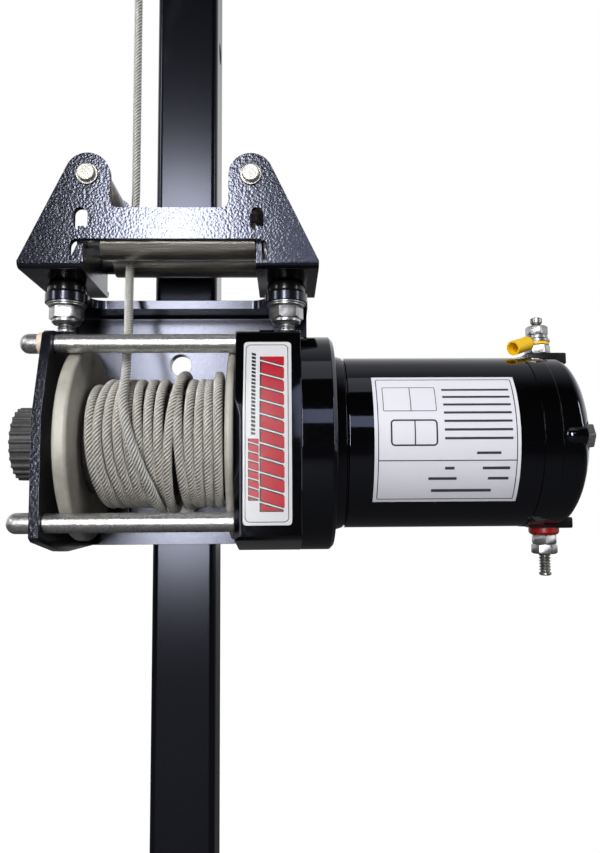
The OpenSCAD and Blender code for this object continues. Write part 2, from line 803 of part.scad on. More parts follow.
flange_web_x = gear_end_x + 2 * face_gap;
motor_x = housing_end + motor_flange_l;
bearing_d = 22;
bearing_w = 7;
shaft_d = 8;
lip_rise = 1.4;
lip_l = 5;
groove_l = 1;
tube_x = motor_x + lip_l + groove_l;
tube_end = tube_x + motor_l;
// Distance of the through bolts inside the motor's outer face
through_edge = 7.4;
through_grip = 12;
through_af = 11;
through_head_h = 4.4;
through_r = motor_d / 2 - through_edge;
through_d = 5.4;
edge_round = 2;

module motor_flange() {
    bore_l = flange_web_x - housing_end;
    color("#1d1d22") at_winch() difference() {
        union() {
            along_x(housing_end) rotate_extrude($fn = 96) polygon([
                [0, 0], [motor_flange_d / 2, 0], [motor_flange_d / 2, motor_flange_l - edge_round],
                [motor_flange_d / 2 - edge_round, motor_flange_l], [0, motor_flange_l]
            ]);
            along_x(motor_x) cylinder(h = lip_l, d1 = motor_d + 2 * lip_rise, d2 = motor_d, $fn = 96);
            along_x(motor_x + lip_l) cylinder(h = groove_l, d = motor_d - 2, $fn = 96);
        }
        along_x(housing_end - cut) cylinder(h = bore_l + cut, d = cavity_d, $fn = 96);
        along_x(flange_web_x - cut) cylinder(h = 2 * motor_flange_l, d = shaft_d + 4);
        along_x(tube_x - bearing_w) cylinder(h = bearing_w + cut, d = bearing_d);
        for (s = [-1, 1]) translate([0, s * through_r, 0]) along_x(tube_x - through_grip)
            cylinder(h = through_grip + cut, d = through_d);
    }
}

// Motor

cap_x = tube_end;
cap_wall = 3;
cap_skirt = 8.5;
cap_end = cap_x + cap_l;
rear_bearing_x = cap_x + 15;
magnet_t = 7;
air_gap = 2.5;
core_r = motor_d / 2 - motor_wall - magnet_t - air_gap;
core_slot_depth = 9;
core_slot_w = 3;
winding_overhang = 6;
commutator_r = 13;
core_x = tube_x + 15;
core_l = 54;
commutator_x = core_x + core_l + winding_overhang;
commutator_l = 10;
sun_first_l = planet_w + 0.4;

module armature() {
    slots = 12;
    color("#b87333") at_winch() {
        along_x(stage_first_x) cylinder(h = rear_bearing_x + bearing_w - stage_first_x, d = shaft_d);
        sun_teeth(stage_first_x, sun_first_l);
        along_x(core_x) linear_extrude(core_l) difference() {
            circle(core_r);
            for (k = [0 : slots - 1]) rotate(360 * k / slots) translate([core_r - core_slot_depth, -core_slot_w / 2])
                square([core_slot_depth + cut, core_slot_w]);
        }
        along_x(core_x - winding_overhang)
            cylinder(h = core_l + 2 * winding_overhang, r = core_r - core_slot_depth);
        along_x(commutator_x) cylinder(h = commutator_l, r = commutator_r);
    }
}

module bearings() {
    color("#c9cbd0") at_winch() {
        along_x(tube_x - bearing_w) ring(bearing_d, shaft_d + 2 * run_gap, bearing_w);
        along_x(rear_bearing_x) ring(bearing_d, shaft_d + 2 * run_gap, bearing_w);
    }
}

module motor_tube() {
    color("#1b1b20") at_winch() along_x(tube_x) ring(motor_d, motor_d - 2 * motor_wall, motor_l, $fn = 96);
}

magnet_overhang = 3;
magnet_arc = 110;
module magnets() {
    outer = motor_d / 2 - motor_wall;
    color("#4c4c50") at_winch() for (s = [0, 180]) along_x(core_x - magnet_overhang)
        rotate(s + 90 - magnet_arc / 2)
        rotate_extrude(angle = magnet_arc) translate([outer - magnet_t, 0]) square([magnet_t, core_l + 2 * magnet_overhang]);
}

// Brush plate with two brushes that bear on the commutator
brush_plate_t = 3;
brush_gap = 0.2;
brush_l = 12;
brush_h = 9;
brush_w = 8;
module brush_gear() {
    plate_x = commutator_x + commutator_l + cut;
    plate_r = motor_d / 2 - motor_wall;
    brush_r = commutator_r + brush_gap + brush_l / 2;
    color("#6b5a3c") at_winch() {
        along_x(plate_x) difference() {
            cylinder(h = brush_plate_t, r = plate_r);
            translate([0, 0, -cut]) cylinder(h = brush_plate_t + 2 * cut, d = shaft_d + 2 * air_gap);
            for (s = [-1, 1]) translate([s * through_r, 0, -cut])
                cylinder(h = brush_plate_t + 2 * cut, d = through_d + 4 * bolt_gap);
        }
        for (s = [-1, 1]) translate([plate_x - brush_h, -brush_w / 2, s * brush_r - brush_l / 2])
            cube([brush_h, brush_w, brush_l]);
    }
}

// Half section of the end cap: skirt, straight side and an end that is an ellipse's quarter
cap_r = motor_d / 2 + 0.3;
cap_step = 0.5;
cap_dome_share = 0.45;
function cap_outline() = let (dome = cap_dome_share * cap_l) concat(
    [[cap_r, 0], [cap_r, cap_skirt], [cap_r - cap_step, cap_skirt + cap_step]],
    [for (a = [0 : 9 : 90]) [(cap_r - cap_step) * cos(a), cap_l - dome + dome * sin(a)]]
);
boss_d = 13.8;
boss_end = cap_x + 0.68 * cap_l;
module end_cap() {
    color("#1b1b20") at_winch() difference() {
        union() {
            along_x(cap_x) rotate_extrude($fn = 96) polygon(concat([[0, 0]], cap_outline()));
            for (s = [-1, 1]) translate([0, s * through_r, 0]) along_x(cap_x + cap_skirt)
                cylinder(h = boss_end - cap_x - cap_skirt, d = boss_d);
        }
        along_x(cap_x - cut) cylinder(h = 0.5 * cap_l + cut, d = motor_d - 2 * cap_wall - 4);
        along_x(rear_bearing_x) cylinder(h = bearing_w, d = bearing_d);
        for (s = [-1, 1]) translate([0, s * through_r, 0]) {
            along_x(cap_x) cylinder(h = cap_l, d = through_d + 2 * bolt_gap);
            along_x(boss_end) cylinder(h = cap_l, d = boss_d + face_gap);
        }
        for (s = [-1, 1]) translate([terminal_x, 0, s * motor_d / 2]) cylinder(h = motor_d / 2, d = stud_d, center = true);
    }
}

module through_bolts() {
    color("silver") at_winch() for (s = [-1, 1]) translate([0, s * through_r, 0]) {
        along_x(tube_x - through_grip) cylinder(h = boss_end - tube_x + through_grip, d = through_d);
        along_x(boss_end) hex_prism(through_af, through_head_h);
    }
}

// Terminals

terminal_x = cap_x + 12.9;
block_t = 4;
block_l = 21;
block_w = 14;
block_back = 8;
stud_depth = 6;
block_top = cap_r + 2;
nut6_h = 5;
ring_low = cap_r + 0.4;
ring_h = 3.6;
ring_d = 15.4;
stud_tip = 22.2;
lower_stud_more = 3.3;
flat_washer_d = 13.2;
flat_washer_t = 1.6;
spring_washer_d = 11.6;
spring_washer_t = 2.2;
top_nut_af = 10;

module terminal_studs() {
    color("silver") at_winch() for (s = [-1, 1]) translate([terminal_x, 0, 0]) mirror([0, 0, s < 0 ? 1 : 0])
        translate([0, 0, motor_d / 2 - stud_depth]) cylinder(h = stud_tip + stud_depth + (s < 0 ? lower_stud_more : 0), d = stud_d);
}

// Block under the upper stud and insulating washer over the lower one
module terminal_insulator() {
    color("#a83a34") at_winch() difference() {
        union() {
            translate([terminal_x - block_back, -block_w / 2, cap_r - block_t])
                cube([block_l, block_w, block_top - cap_r + block_t]);
            translate([terminal_x, 0, -ring_low - ring_h]) cylinder(h = ring_h + block_t, d = ring_d);
        }
        along_x(cap_x - cut) cylinder(h = cap_l, r = cap_r, $fn = 96);
        translate([terminal_x, 0, -motor_d]) cylinder(h = 2 * motor_d, d = stud_d);
    }
}

ring_terminal_t = 1.4;
upper_nut_z = block_top + nut6_h;
washer_z = upper_nut_z + ring_terminal_t;
module m6_nut(z, af = 11.5, h = nut6_h) {
    translate([terminal_x, 0, z]) difference() {
        hex_prism(af, h);
        translate([0, 0, -cut]) cylinder(h = h + 2 * cut, d = stud_d);
    }
}
module m6_washer(z, d, h) {
    translate([terminal_x, 0, z]) ring(d, stud_d, h);
}
module terminal_nuts() {
    color("silver") at_winch() {
        m6_nut(block_top);
        m6_washer(washer_z, flat_washer_d, flat_washer_t);
        m6_washer(washer_z + flat_washer_t, spring_washer_d, spring_washer_t);
        m6_nut(washer_z + flat_washer_t + spring_washer_t, top_nut_af);
        for (k = [1, 2]) m6_nut(-ring_low - ring_h - k * nut6_h);
    }
}

// Crimp ring on the upper stud with an empty sleeve that points down to the front left
sleeve_d = 7.6;
sleeve_l = 13;
sleeve_turn = 126;
sleeve_dip = 18;
module crimp_terminal() {
    color("#f5c518") at_winch() translate([terminal_x, 0, upper_nut_z]) {
        ring(12.4, stud_d, ring_terminal_t);
        rotate(180 + sleeve_turn - 90) {
            difference() {
                translate([0, -2.5, 0]) cube([9.5, 5, ring_terminal_t]);
                translate([0, 0, -cut]) cylinder(h = ring_terminal_t + 2 * cut, d = 12);
            }
            translate([8.5, 0, ring_terminal_t / 2 - 0.5]) rotate([0, 90 + sleeve_dip, 0]) difference() {
                cylinder(h = sleeve_l, d = sleeve_d);
                translate([0, 0, 4]) cylinder(h = sleeve_l, d = sleeve_d - 1.8);
            }
        }
    }
}

// Clutch

knob_x = end_plate_x - end_plate_t - 6;
knob_ribs = 26;
rib_d = 2.2;
web_t = 3;
web_x = knob_x - knob_l + 5;
knob_gap = 0.2;
dog_end = carrier_second_x + carrier_second_t - 0.4;
dog_l = dog_end - hub_end + 11;

// Ribbed cup with a web that the shaft's end carries
module clutch_knob() {
    color("#222225") at_winch() {
        along_x(knob_x - knob_l) linear_extrude(knob_l) difference() {
            union() {
                circle(d = knob_d - rib_d, $fn = 96);
                for (k = [0 : knob_ribs - 1]) rotate(360 * k / knob_ribs)
                    translate([(knob_d - rib_d) / 2, 0]) circle(d = rib_d, $fn = 16);
            }
            circle(d = knob_d - 8);
        }
        along_x(web_x) ring(knob_d - 7, clutch_shaft_d + 2 * run_gap, web_t);
        along_x(knob_x - knob_l) cylinder(h = 1.6, d = knob_d - 7);
    }
}

module clutch_shaft() {
    color("#8b8d92") at_winch() {
        along_x(web_x - knob_gap - 2) cylinder(h = dog_end - web_x + knob_gap + 2, d = clutch_shaft_d);
        along_x(web_x + web_t + knob_gap) cylinder(h = 1.5, d = clutch_shaft_d + 4);
        along_x(dog_end - dog_l) hex_prism(dog_af, dog_l);
    }
}

module clutch_circlip() {
    color("silver") at_winch() along_x(web_x - knob_gap - 1.2) ring(clutch_shaft_d + 5, clutch_shaft_d, 1.2);
}

// The spring is drawn as long as it is when the clutch is pulled out
spring_l = dog_end - dog_l - clutch_travel - face_gap - dog_socket_x;
spring_d = 13;
module clutch_spring() {
    color("#77797d") at_winch() along_x(dog_socket_x) ring(spring_d, clutch_shaft_d + 1, spring_l);
}

// Plates of generic print

decal_t = 0.3;
decal_x = housing_x + 4;
decal_w = 22.6;
decal_low = -41;
decal_high = 46;

// Thin plate bent over the housing's front
module housing_decal() {
    brow_slope = (brow_y - front_y) / (brow_z - front_high_z);
    color("#f0f0f2") at_winch() along_x(decal_x) linear_extrude(decal_w) polygon([
        [front_y - decal_t, decal_low], [front_y, decal_low], [front_y, front_high_z],
        [front_y + brow_slope * (decal_high - front_high_z), decal_high],
        [front_y + brow_slope * (decal_high - front_high_z) - decal_t, decal_high],
        [front_y - decal_t, front_high_z]
    ]);
}

label_x = tube_x + 11.6;
label_w = 68.9;
label_high = 41;
label_low = -44;
glue_t = 0.05;
module motor_label() {
    color("#e2e2ec") at_winch() along_x(label_x) rotate(180 - label_high)
        rotate_extrude(angle = label_high - label_low, $fn = 96) translate([motor_d / 2 + glue_t, 0])
            square([decal_t, label_w]);
}

// Rope above the drum: points along its middle, in the winch's own frame
lead_points = [
    [-1, -3, -37], [-1, -12.5, -35], [-2, -21.5, -30.5], [-4, -28.5, -24], [-7, -33.5, -16], [-10.5, -36.5, -6.5],
    [-13.5, -37, 3], [-16, -35, 12.5], [-17.5, -30.5, 21.5], [-18, -23, 32.5], [-19, -16, 43], [-20, -8.5, 54],
    [-21.5, -1, 64.5], [-23, 6, 75.5], [-24.5, 13.5, 86.5], [-26, 21, 97.5], [-26.5, 25.5, 105.5],
    [-26.5, 27.5, 112.5], [-26, 28, 121], [-25, 28, 134], [-24.5, 28, 149], [-24.5, 28, 164], [-24.5, 28, 179],
    [-24.5, 28, 194], [-24.5, 28, 209], [-24.5, 28, 224], [-24.5, 28, 239], [-24.5, 28, 254]
];
lead_x = -24.5;
lead_y = 28;

module rope_lead() {
    color("#c4bfb2") at_winch() swept_tube(concat(lead_points, [[lead_x, lead_y, ferrule_z]]), rope_r, 10);
}

// Rope's end: ferrule, eye and thimble

ferrule_l = 22;
eye_r = 13;
eye_z = ferrule_z + ferrule_l + 22;
thimble_t = 1.2;
hook_pin_d = 9;

// Half the angle between the eye's two legs
function leg_angle() = asin((eye_r - rope_r - 0.2) / (eye_z - ferrule_z - ferrule_l));

module rope_eye() {
    leg_a = leg_angle();
    leg_l = (eye_z - ferrule_z - ferrule_l) * cos(leg_a);
    color("#b9bac4") at_winch() translate([lead_x, lead_y, 0]) {
        translate([0, 0, ferrule_z]) cylinder(h = ferrule_l, d = 2.4 * rope_d);
        translate([0, 0, eye_z]) rotate([90, 0, 0]) {
            rotate_extrude() translate([eye_r, 0]) circle(rope_r);
            rotate_extrude() translate([eye_r - rope_r - thimble_t, -rope_r]) square([thimble_t + 0.6, rope_d]);
        }
        for (s = [-1, 1]) translate([s * rope_r * 1.1, 0, ferrule_z + ferrule_l - 1])
            rotate([0, s * leg_a, 0]) cylinder(h = leg_l * 0.72, r = rope_r);
    }
}

// Hook with two clevis ears, a pin through the thimble and a bow that opens to the right

clevis_gap = rope_d + 1.4;
clevis_t = 5;
clevis_r = 9;
shank_l = 28;
bow_z = eye_z + shank_l + hook_r + hook_t;
bow_mid = hook_r + hook_t / 2;
bow_angle = 262;
hook_pin_z = eye_z + eye_r - rope_r - thimble_t - hook_pin_d / 2 - 0.1;
latch_pin_d = 2.6;
latch_x = hook_t / 2 + 3.5;
latch_z = bow_z - bow_mid + 3;
latch_lug_r = 3;
latch_lug_w = 6;
latch_t = 1.2;
latch_lean = 12;
latch_w = latch_lug_w + 2 * (face_gap + latch_t);
latch_l = hook_r + 4.5;

module hook() {
    ear_top = eye_z + eye_r + rope_r + 1;
    block_top_z = eye_z + shank_l;
    color("#c0603a") at_winch() translate([lead_x, lead_y, 0]) {
        for (s = [-1, 1]) translate([0, s * (clevis_gap + clevis_t) / 2, 0]) {
            translate([0, 0, hook_pin_z]) rotate([90, 0, 0]) cylinder(h = clevis_t, r = clevis_r, center = true);
            translate([-clevis_r, -clevis_t / 2, hook_pin_z])
                cube([2 * clevis_r, clevis_t, block_top_z - hook_pin_z]);
        }
        translate([0, 0, hook_pin_z]) rotate([90, 0, 0])
            cylinder(h = clevis_gap + 2 * clevis_t + 6, d = hook_pin_d, center = true);
        translate([-clevis_r, -clevis_gap / 2 - clevis_t, ear_top])
            cube([2 * clevis_r, clevis_gap + 2 * clevis_t, block_top_z - ear_top]);
        translate([0, 0, block_top_z - cut]) cylinder(h = hook_t / 2 + cut, d = hook_t);
        translate([0, 0, bow_z - bow_mid]) sphere(d = hook_t);
        translate([0, 0, bow_z]) rotate([90, 0, 0]) rotate(-90) rotate_extrude(angle = -bow_angle)
            translate([bow_mid, 0]) circle(d = hook_t);
        translate([latch_x, 0, latch_z]) rotate([90, 0, 0]) {
            cylinder(h = latch_lug_w, r = latch_lug_r, center = true);
            cylinder(h = latch_w + 1, d = latch_pin_d, center = true);
        }
        translate([0, -latch_lug_w / 2, latch_z - latch_lug_r])
            cube([latch_x, latch_lug_w, 2 * latch_lug_r - 0.6]);
    }
}

// Sprung latch: two cheeks on the hook's pin and a plate that closes the mouth
module hook_latch() {
    color("silver") at_winch() translate([lead_x + latch_x, lead_y, latch_z]) rotate([0, latch_lean, 0])
        difference() {
            union() {
                translate([-latch_t / 2, -latch_w / 2, latch_lug_r + 0.6])
                    cube([latch_t, latch_w, latch_l - latch_lug_r - 0.6]);
                for (s = [-1, 1]) translate([0, s * (latch_w - latch_t) / 2, 0]) {
                    rotate([90, 0, 0]) cylinder(h = latch_t, r = latch_lug_r - 0.2, center = true);
                    translate([-latch_lug_r * 0.6, -latch_t / 2, 0])
                        cube([latch_lug_r * 1.2, latch_t, latch_lug_r + 1.5]);
                }
            }
            rotate([90, 0, 0]) cylinder(h = 2 * latch_w, d = latch_pin_d + 2 * run_gap, center = true);
        }
}

hitch_shank();
mast_socket();
socket_gusset();
socket_bolt();
mast_tube();
mount_plate();
mast_bolts();
winch_bolts();
fairlead_bracket();
fairlead_bolts();
fairlead_spacers();
fairlead_nuts();
long_roller_front();
long_roller_rear();
side_roller_left();
side_roller_right();
long_roller_pins();
side_roller_pins();
roller_clips();
end_plate();
tie_bars();
tie_bolts();
clutch_bush();
clutch_knob();
clutch_shaft();
clutch_circlip();
clutch_spring();
drum_core();
drum_flanges();
rope_inner_layers();
rope_winding();
gear_housing();
drum_bush();
ring_gear();
motor_flange();
carrier_second();
carrier_first();
planet_a1();
planet_a2();
planet_a3();
planet_b1();
planet_b2();
planet_b3();
armature();
bearings();
motor_tube();
magnets();
brush_gear();
end_cap();
through_bolts();
terminal_studs();
terminal_nuts();
terminal_insulator();
crimp_terminal();
housing_decal();
motor_label();
rope_lead();
rope_eye();
hook();
hook_latch();
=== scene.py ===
import json
import math

import bpy
import numpy as np
from mathutils import Matrix, Quaternion, Vector

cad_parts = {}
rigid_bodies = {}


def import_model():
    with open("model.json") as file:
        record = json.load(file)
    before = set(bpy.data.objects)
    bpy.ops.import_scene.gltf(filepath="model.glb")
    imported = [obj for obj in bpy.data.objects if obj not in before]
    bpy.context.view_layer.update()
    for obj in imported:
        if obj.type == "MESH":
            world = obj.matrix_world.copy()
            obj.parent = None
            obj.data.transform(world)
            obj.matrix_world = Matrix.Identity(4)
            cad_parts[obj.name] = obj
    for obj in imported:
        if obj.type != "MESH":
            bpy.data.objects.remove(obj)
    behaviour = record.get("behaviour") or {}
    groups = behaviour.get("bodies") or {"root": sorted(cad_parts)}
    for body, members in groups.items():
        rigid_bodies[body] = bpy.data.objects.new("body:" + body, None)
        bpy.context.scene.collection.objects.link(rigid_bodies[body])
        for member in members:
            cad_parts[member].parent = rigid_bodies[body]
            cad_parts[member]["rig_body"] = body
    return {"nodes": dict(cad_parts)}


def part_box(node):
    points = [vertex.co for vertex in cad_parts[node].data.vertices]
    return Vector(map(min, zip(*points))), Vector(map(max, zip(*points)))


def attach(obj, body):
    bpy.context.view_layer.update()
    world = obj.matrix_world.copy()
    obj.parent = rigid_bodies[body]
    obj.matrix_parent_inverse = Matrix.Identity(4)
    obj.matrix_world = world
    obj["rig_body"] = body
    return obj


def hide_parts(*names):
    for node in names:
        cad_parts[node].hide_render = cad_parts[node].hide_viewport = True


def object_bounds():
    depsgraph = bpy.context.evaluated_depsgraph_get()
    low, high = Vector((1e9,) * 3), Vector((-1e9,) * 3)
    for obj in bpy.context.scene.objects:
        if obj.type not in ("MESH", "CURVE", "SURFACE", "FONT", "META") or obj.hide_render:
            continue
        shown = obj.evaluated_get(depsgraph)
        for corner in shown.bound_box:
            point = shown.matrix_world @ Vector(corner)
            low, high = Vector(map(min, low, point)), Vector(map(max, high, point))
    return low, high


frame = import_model()
cad_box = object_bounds()
nodes = frame["nodes"]
scene = bpy.context.scene
scene.view_settings.view_transform = "Standard"

# Studio: a white table and a white room behind the hoist, dark towards the camera. One
# tall soft light stands in front, a little left of the lens, with dim lights round it,
# and the camera looks slightly up from just below the drum.
view_from = (0.0609, -0.66905, 0.3677)  # place, turns and lens as fitted to the photograph
yaw, pitch, roll = (math.radians(a) for a in (1.18, 5.29, -0.38))
sight = Vector((math.sin(yaw) * math.cos(pitch), math.cos(yaw) * math.cos(pitch), math.sin(pitch)))
level = Vector((math.cos(yaw), -math.sin(yaw), 0))
right = math.cos(roll) * level + math.sin(roll) * level.cross(sight)
up = right.cross(sight)
lens = bpy.data.cameras.new("camera")
lens.lens, lens.sensor_width = 31.23, 36
lens.clip_start, lens.clip_end = 0.02, 50
camera = bpy.data.objects.new("camera", lens)
scene.collection.objects.link(camera)
camera.matrix_world = Matrix.Translation(view_from) @ Matrix((right, up, -sight)).transposed().to_4x4()
scene.camera = camera


def softbox(name, place, aim, width, height, power, colour=(1, 1, 1)):
    """A flat soft light at a place, turned to its aim and hidden from the camera."""
    lamp = bpy.data.lights.new(name, "AREA")
    lamp.shape, lamp.size, lamp.size_y = "RECTANGLE", width, height
    lamp.energy, lamp.color = power, colour
    stand = bpy.data.objects.new(name, lamp)
    scene.collection.objects.link(stand)
    stand.location = place
    stand.rotation_euler = (Vector(aim) - Vector(place)).to_track_quat("-Z", "Y").to_euler()
    stand.visible_camera = False
    return stand


# place, aim, width, height, watts and colour of each light
softbox("key_strip", (-0.165, -1.42, 0.645), (-0.02, -0.25, 0.475), 0.2, 0.85, 10.4)
softbox("fill_left", (-1.1, -0.9, 0.95), (0.05, -0.28, 0.4), 0.2, 0.9, 4.2, (0.97, 0.98, 1))
softbox("fill_right", (1.25, -0.8, 0.75), (0.1, -0.28, 0.4), 0.2, 0.9, 3.2)
softbox("fill_top", (0.1, -0.6, 1.75), (0.05, -0.26, 0.4), 0.9, 0.6, 0.8)
softbox("side_glow", (0.22, -1.4, 0.87), (0.1, -0.28, 0.4), 0.28, 0.3, 0.35, (0.75, 0.8, 1))
front_fill = softbox("front_fill", (-0.15, -1.05, 0.8), (0.03, -0.28, 0.42), 0.5, 0.5, 3.1)
front_fill.visible_glossy = False  # it only lifts the dull surfaces


def shader_node(tree, kind, **values):
    """A new shader node; each value goes to the socket of its name, or else to the setting."""
    node = tree.nodes.new("ShaderNode" + kind)
    for key, value in values.items():
        socket = key.replace("_", " ")
        if socket in node.inputs:
            node.inputs[socket].default_value = value
        else:
            setattr(node, key, value)
    return node


def calculated(tree, kind, operation, *sources):
    """The result of a Math or VectorMath node on links or plain values."""
    node = shader_node(tree, kind, operation=operation)
    for socket, source in zip(node.inputs, sources):
        if isinstance(source, (int, float, tuple)):
            socket.default_value = source
        else:
            tree.links.new(source, socket)
    return node.outputs["Value" if operation == "LENGTH" else 0]


# the room by the way a ray points: bright behind the hoist, dark before it and dimmer overhead
room = bpy.data.worlds.new("room")
scene.world = room
room.use_nodes = True
tree = room.node_tree
tree.nodes.clear()
direction = shader_node(tree, "SeparateXYZ")
tree.links.new(shader_node(tree, "TexCoord").outputs["Generated"], direction.inputs[0])
depth = shader_node(tree, "MapRange", interpolation_type="SMOOTHSTEP",
                    From_Min=-0.35, From_Max=0.45, To_Min=0.014, To_Max=1.0)
ceiling = shader_node(tree, "MapRange", From_Min=0.3, From_Max=0.85, To_Min=1.0, To_Max=0.3)
tree.links.new(direction.outputs["Y"], depth.inputs["Value"])
tree.links.new(direction.outputs["Z"], ceiling.inputs["Value"])
dimmed = calculated(tree, "Math", "MULTIPLY", depth.outputs["Result"], ceiling.outputs["Result"])
seen = shader_node(tree, "Mix", B=1.0)  # the camera itself sees plain white
tree.links.new(shader_node(tree, "LightPath").outputs["Is Camera Ray"], seen.inputs["Factor"])
tree.links.new(dimmed, seen.inputs["A"])
glow = shader_node(tree, "Background", Color=(1, 1, 1, 1))
tree.links.new(seen.outputs["Result"], glow.inputs["Strength"])
tree.links.new(glow.outputs[0], shader_node(tree, "OutputWorld").inputs[0])

table_size, table_drop = 12, 0.0002
bpy.ops.mesh.primitive_plane_add(size=table_size, location=(0, 0, cad_box[0].z - table_drop))
floor = bpy.context.object
floor.name = "table_top"
white = bpy.data.materials.new("white_table")
white.use_nodes = True
tree = white.node_tree
board = tree.nodes["Principled BSDF"]
board.inputs["Base Color"].default_value = (0.06, 0.06, 0.062, 1)
board.inputs["Roughness"].default_value = 0.7
board.inputs["Emission Color"].default_value = (1, 1, 1, 1)
lift = calculated(tree, "Math", "MULTIPLY", shader_node(tree, "LightPath").outputs["Is Camera Ray"], 0.95)
tree.links.new(lift, board.inputs["Emission Strength"])
floor.data.materials.append(white)

# Rope: galvanised wire rope, six strands laid round a core, 5 mm across. Fourteen turns
# lie on the drum, two of them riding up, and the last one comes from under the drum up
# the front, between the fairlead's rollers and on to the ferrule.
MM = 0.001
axis_y, axis_z = -0.28105, 0.395  # the drum's axis in the part's frame
rope_d = 0.005
rope_lay = 0.0118  # the rope's length for one turn of its strands
strands, wires_shown = 6, 7  # strands of the rope, and ridges of wire across a strand
strand_share, centre_share = 0.345, 0.655  # a strand's radius and its place, as shares of the rope's radius
# the last value is a painted shade, multiplied into the hollows between the strands
wire_lay, wire_relief, painted_hollow_shade = 0.0105, 0.00028, (0.015, 0.013, 0.011)
ring_corners, curve_steps = 24, 24
strand_pitch = 2 * math.pi / strands


def spot(x, y, z):
    """A place in metres from millimetres right of the mast, behind and above the drum's axis."""
    return Vector((x * MM, axis_y + y * MM, axis_z + z * MM))


def wear_group():
    """Soft clouds at two scales: a mask for colour and a finer one for roughness."""
    group = bpy.data.node_groups.new("handling_marks", "ShaderNodeTree")
    for name, way, kind in (("Coordinates", "INPUT", "Vector"), ("Scale", "INPUT", "Float"),
                            ("Mask", "OUTPUT", "Float"), ("Fine", "OUTPUT", "Float")):
        group.interface.new_socket(name, in_out=way, socket_type="NodeSocket" + kind)
    given, result = group.nodes.new("NodeGroupInput"), group.nodes.new("NodeGroupOutput")
    coarse = given.outputs["Scale"]
    finer = calculated(group, "Math", "MULTIPLY", coarse, 7.0)
    for name, scale, detail, rough, low, high in (("Mask", coarse, 5.0, 0.6, 0.38, 0.66),
                                                  ("Fine", finer, 3.0, 0.7, 0.3, 0.7)):
        noise = shader_node(group, "TexNoise", Detail=detail, Roughness=rough)
        ramp = shader_node(group, "MapRange", From_Min=low, From_Max=high)
        group.links.new(given.outputs["Coordinates"], noise.inputs["Vector"])
        group.links.new(scale, noise.inputs["Scale"])
        group.links.new(noise.outputs["Fac"], ramp.inputs["Value"])
        group.links.new(ramp.outputs["Result"], result.inputs[name])
    return group


handling_marks = wear_group()


def raised(tree, height, rise, strength=0.6, **settings):
    """Fine relief on the finish from a height between 0 and 1."""
    relief = shader_node(tree, "Bump", Distance=rise, Strength=strength, **settings)
    tree.links.new(height, relief.inputs["Height"])
    tree.links.new(relief.outputs[0], tree.nodes["Principled BSDF"].inputs["Normal"])


def overlaid(tree, mask, colour, blend="MIX"):
    """Lay a colour over the finish where the mask is."""
    base = tree.nodes["Principled BSDF"].inputs["Base Color"]
    tone = shader_node(tree, "Mix", data_type="RGBA", blend_type=blend, B=(*colour, 1))
    tree.links.new(base.links[0].from_socket, tone.inputs["A"])
    tree.links.new(mask, tone.inputs["Factor"])
    tree.links.new(tone.outputs["Result"], base)


def surface(name, colour, second, rough, second_rough, scale=200, stretch=(1, 1, 1), bump=0.0,
            uv=False, **own):
    """A finish whose two colours and two roughnesses drift over it; own values go on the shader."""
    finish = bpy.data.materials.new(name)
    finish.use_nodes = True
    tree = finish.node_tree
    shader = tree.nodes["Principled BSDF"]
    for key, value in own.items():
        shader.inputs[key.replace("_", " ")].default_value = value
    placed_on = shader_node(tree, "Mapping", Scale=stretch)
    marks = tree.nodes.new("ShaderNodeGroup")
    marks.node_tree = handling_marks
    marks.inputs["Scale"].default_value = scale
    source = shader_node(tree, "TexCoord").outputs["UV" if uv else "Object"]
    tree.links.new(source, placed_on.inputs["Vector"])
    tree.links.new(placed_on.outputs[0], marks.inputs["Coordinates"])
    tone = shader_node(tree, "Mix", data_type="RGBA", A=(*colour, 1), B=(*second, 1))
    tree.links.new(marks.outputs["Mask"], tone.inputs["Factor"])
    tree.links.new(tone.outputs["Result"], shader.inputs["Base Color"])
    gloss = shader_node(tree, "MapRange", To_Min=rough, To_Max=second_rough)
    tree.links.new(marks.outputs["Fine"], gloss.inputs["Value"])
    tree.links.new(gloss.outputs["Result"], shader.inputs["Roughness"])
    if bump:
        raised(tree, marks.outputs["Fine"], bump)
    return finish


def wire_finish(name, colour, second, rough, metal):
    """Strands of fine wires: thin ridges along each strand, with painted shade in the hollows."""
    finish = surface(name, colour, second, rough, rough + 0.12, scale=700, Metallic=metal)
    tree = finish.node_tree
    sheet = shader_node(tree, "SeparateXYZ")
    tree.links.new(shader_node(tree, "TexCoord").outputs["UV"], sheet.inputs[0])
    across = calculated(tree, "Math", "MULTIPLY", sheet.outputs["X"], strands * wires_shown)
    along = calculated(tree, "Math", "MULTIPLY_ADD", sheet.outputs["Y"], 1 / wire_lay, across)
    wave = calculated(tree, "Math", "SINE", calculated(tree, "Math", "MULTIPLY", along, 2 * math.pi))
    raised(tree, wave, wire_relief)
    # painted shade: the hollows between the strands are darkened by multiplying in a dark tint
    hollow = shader_node(tree, "Attribute", attribute_name="hollow")
    overlaid(tree, hollow.outputs["Fac"], painted_hollow_shade, "MULTIPLY")
    return finish


def reach_along(run):
    """The length of the run up to each of its points."""
    return np.concatenate([[0], np.cumsum(np.linalg.norm(np.diff(run, axis=0), axis=1))])


def evened(run, count):
    """The same run with count points at even spacing."""
    reach = reach_along(run)
    even = np.linspace(0, reach[-1], count)
    return np.stack([np.interp(even, reach, run[:, k]) for k in range(3)], axis=1)


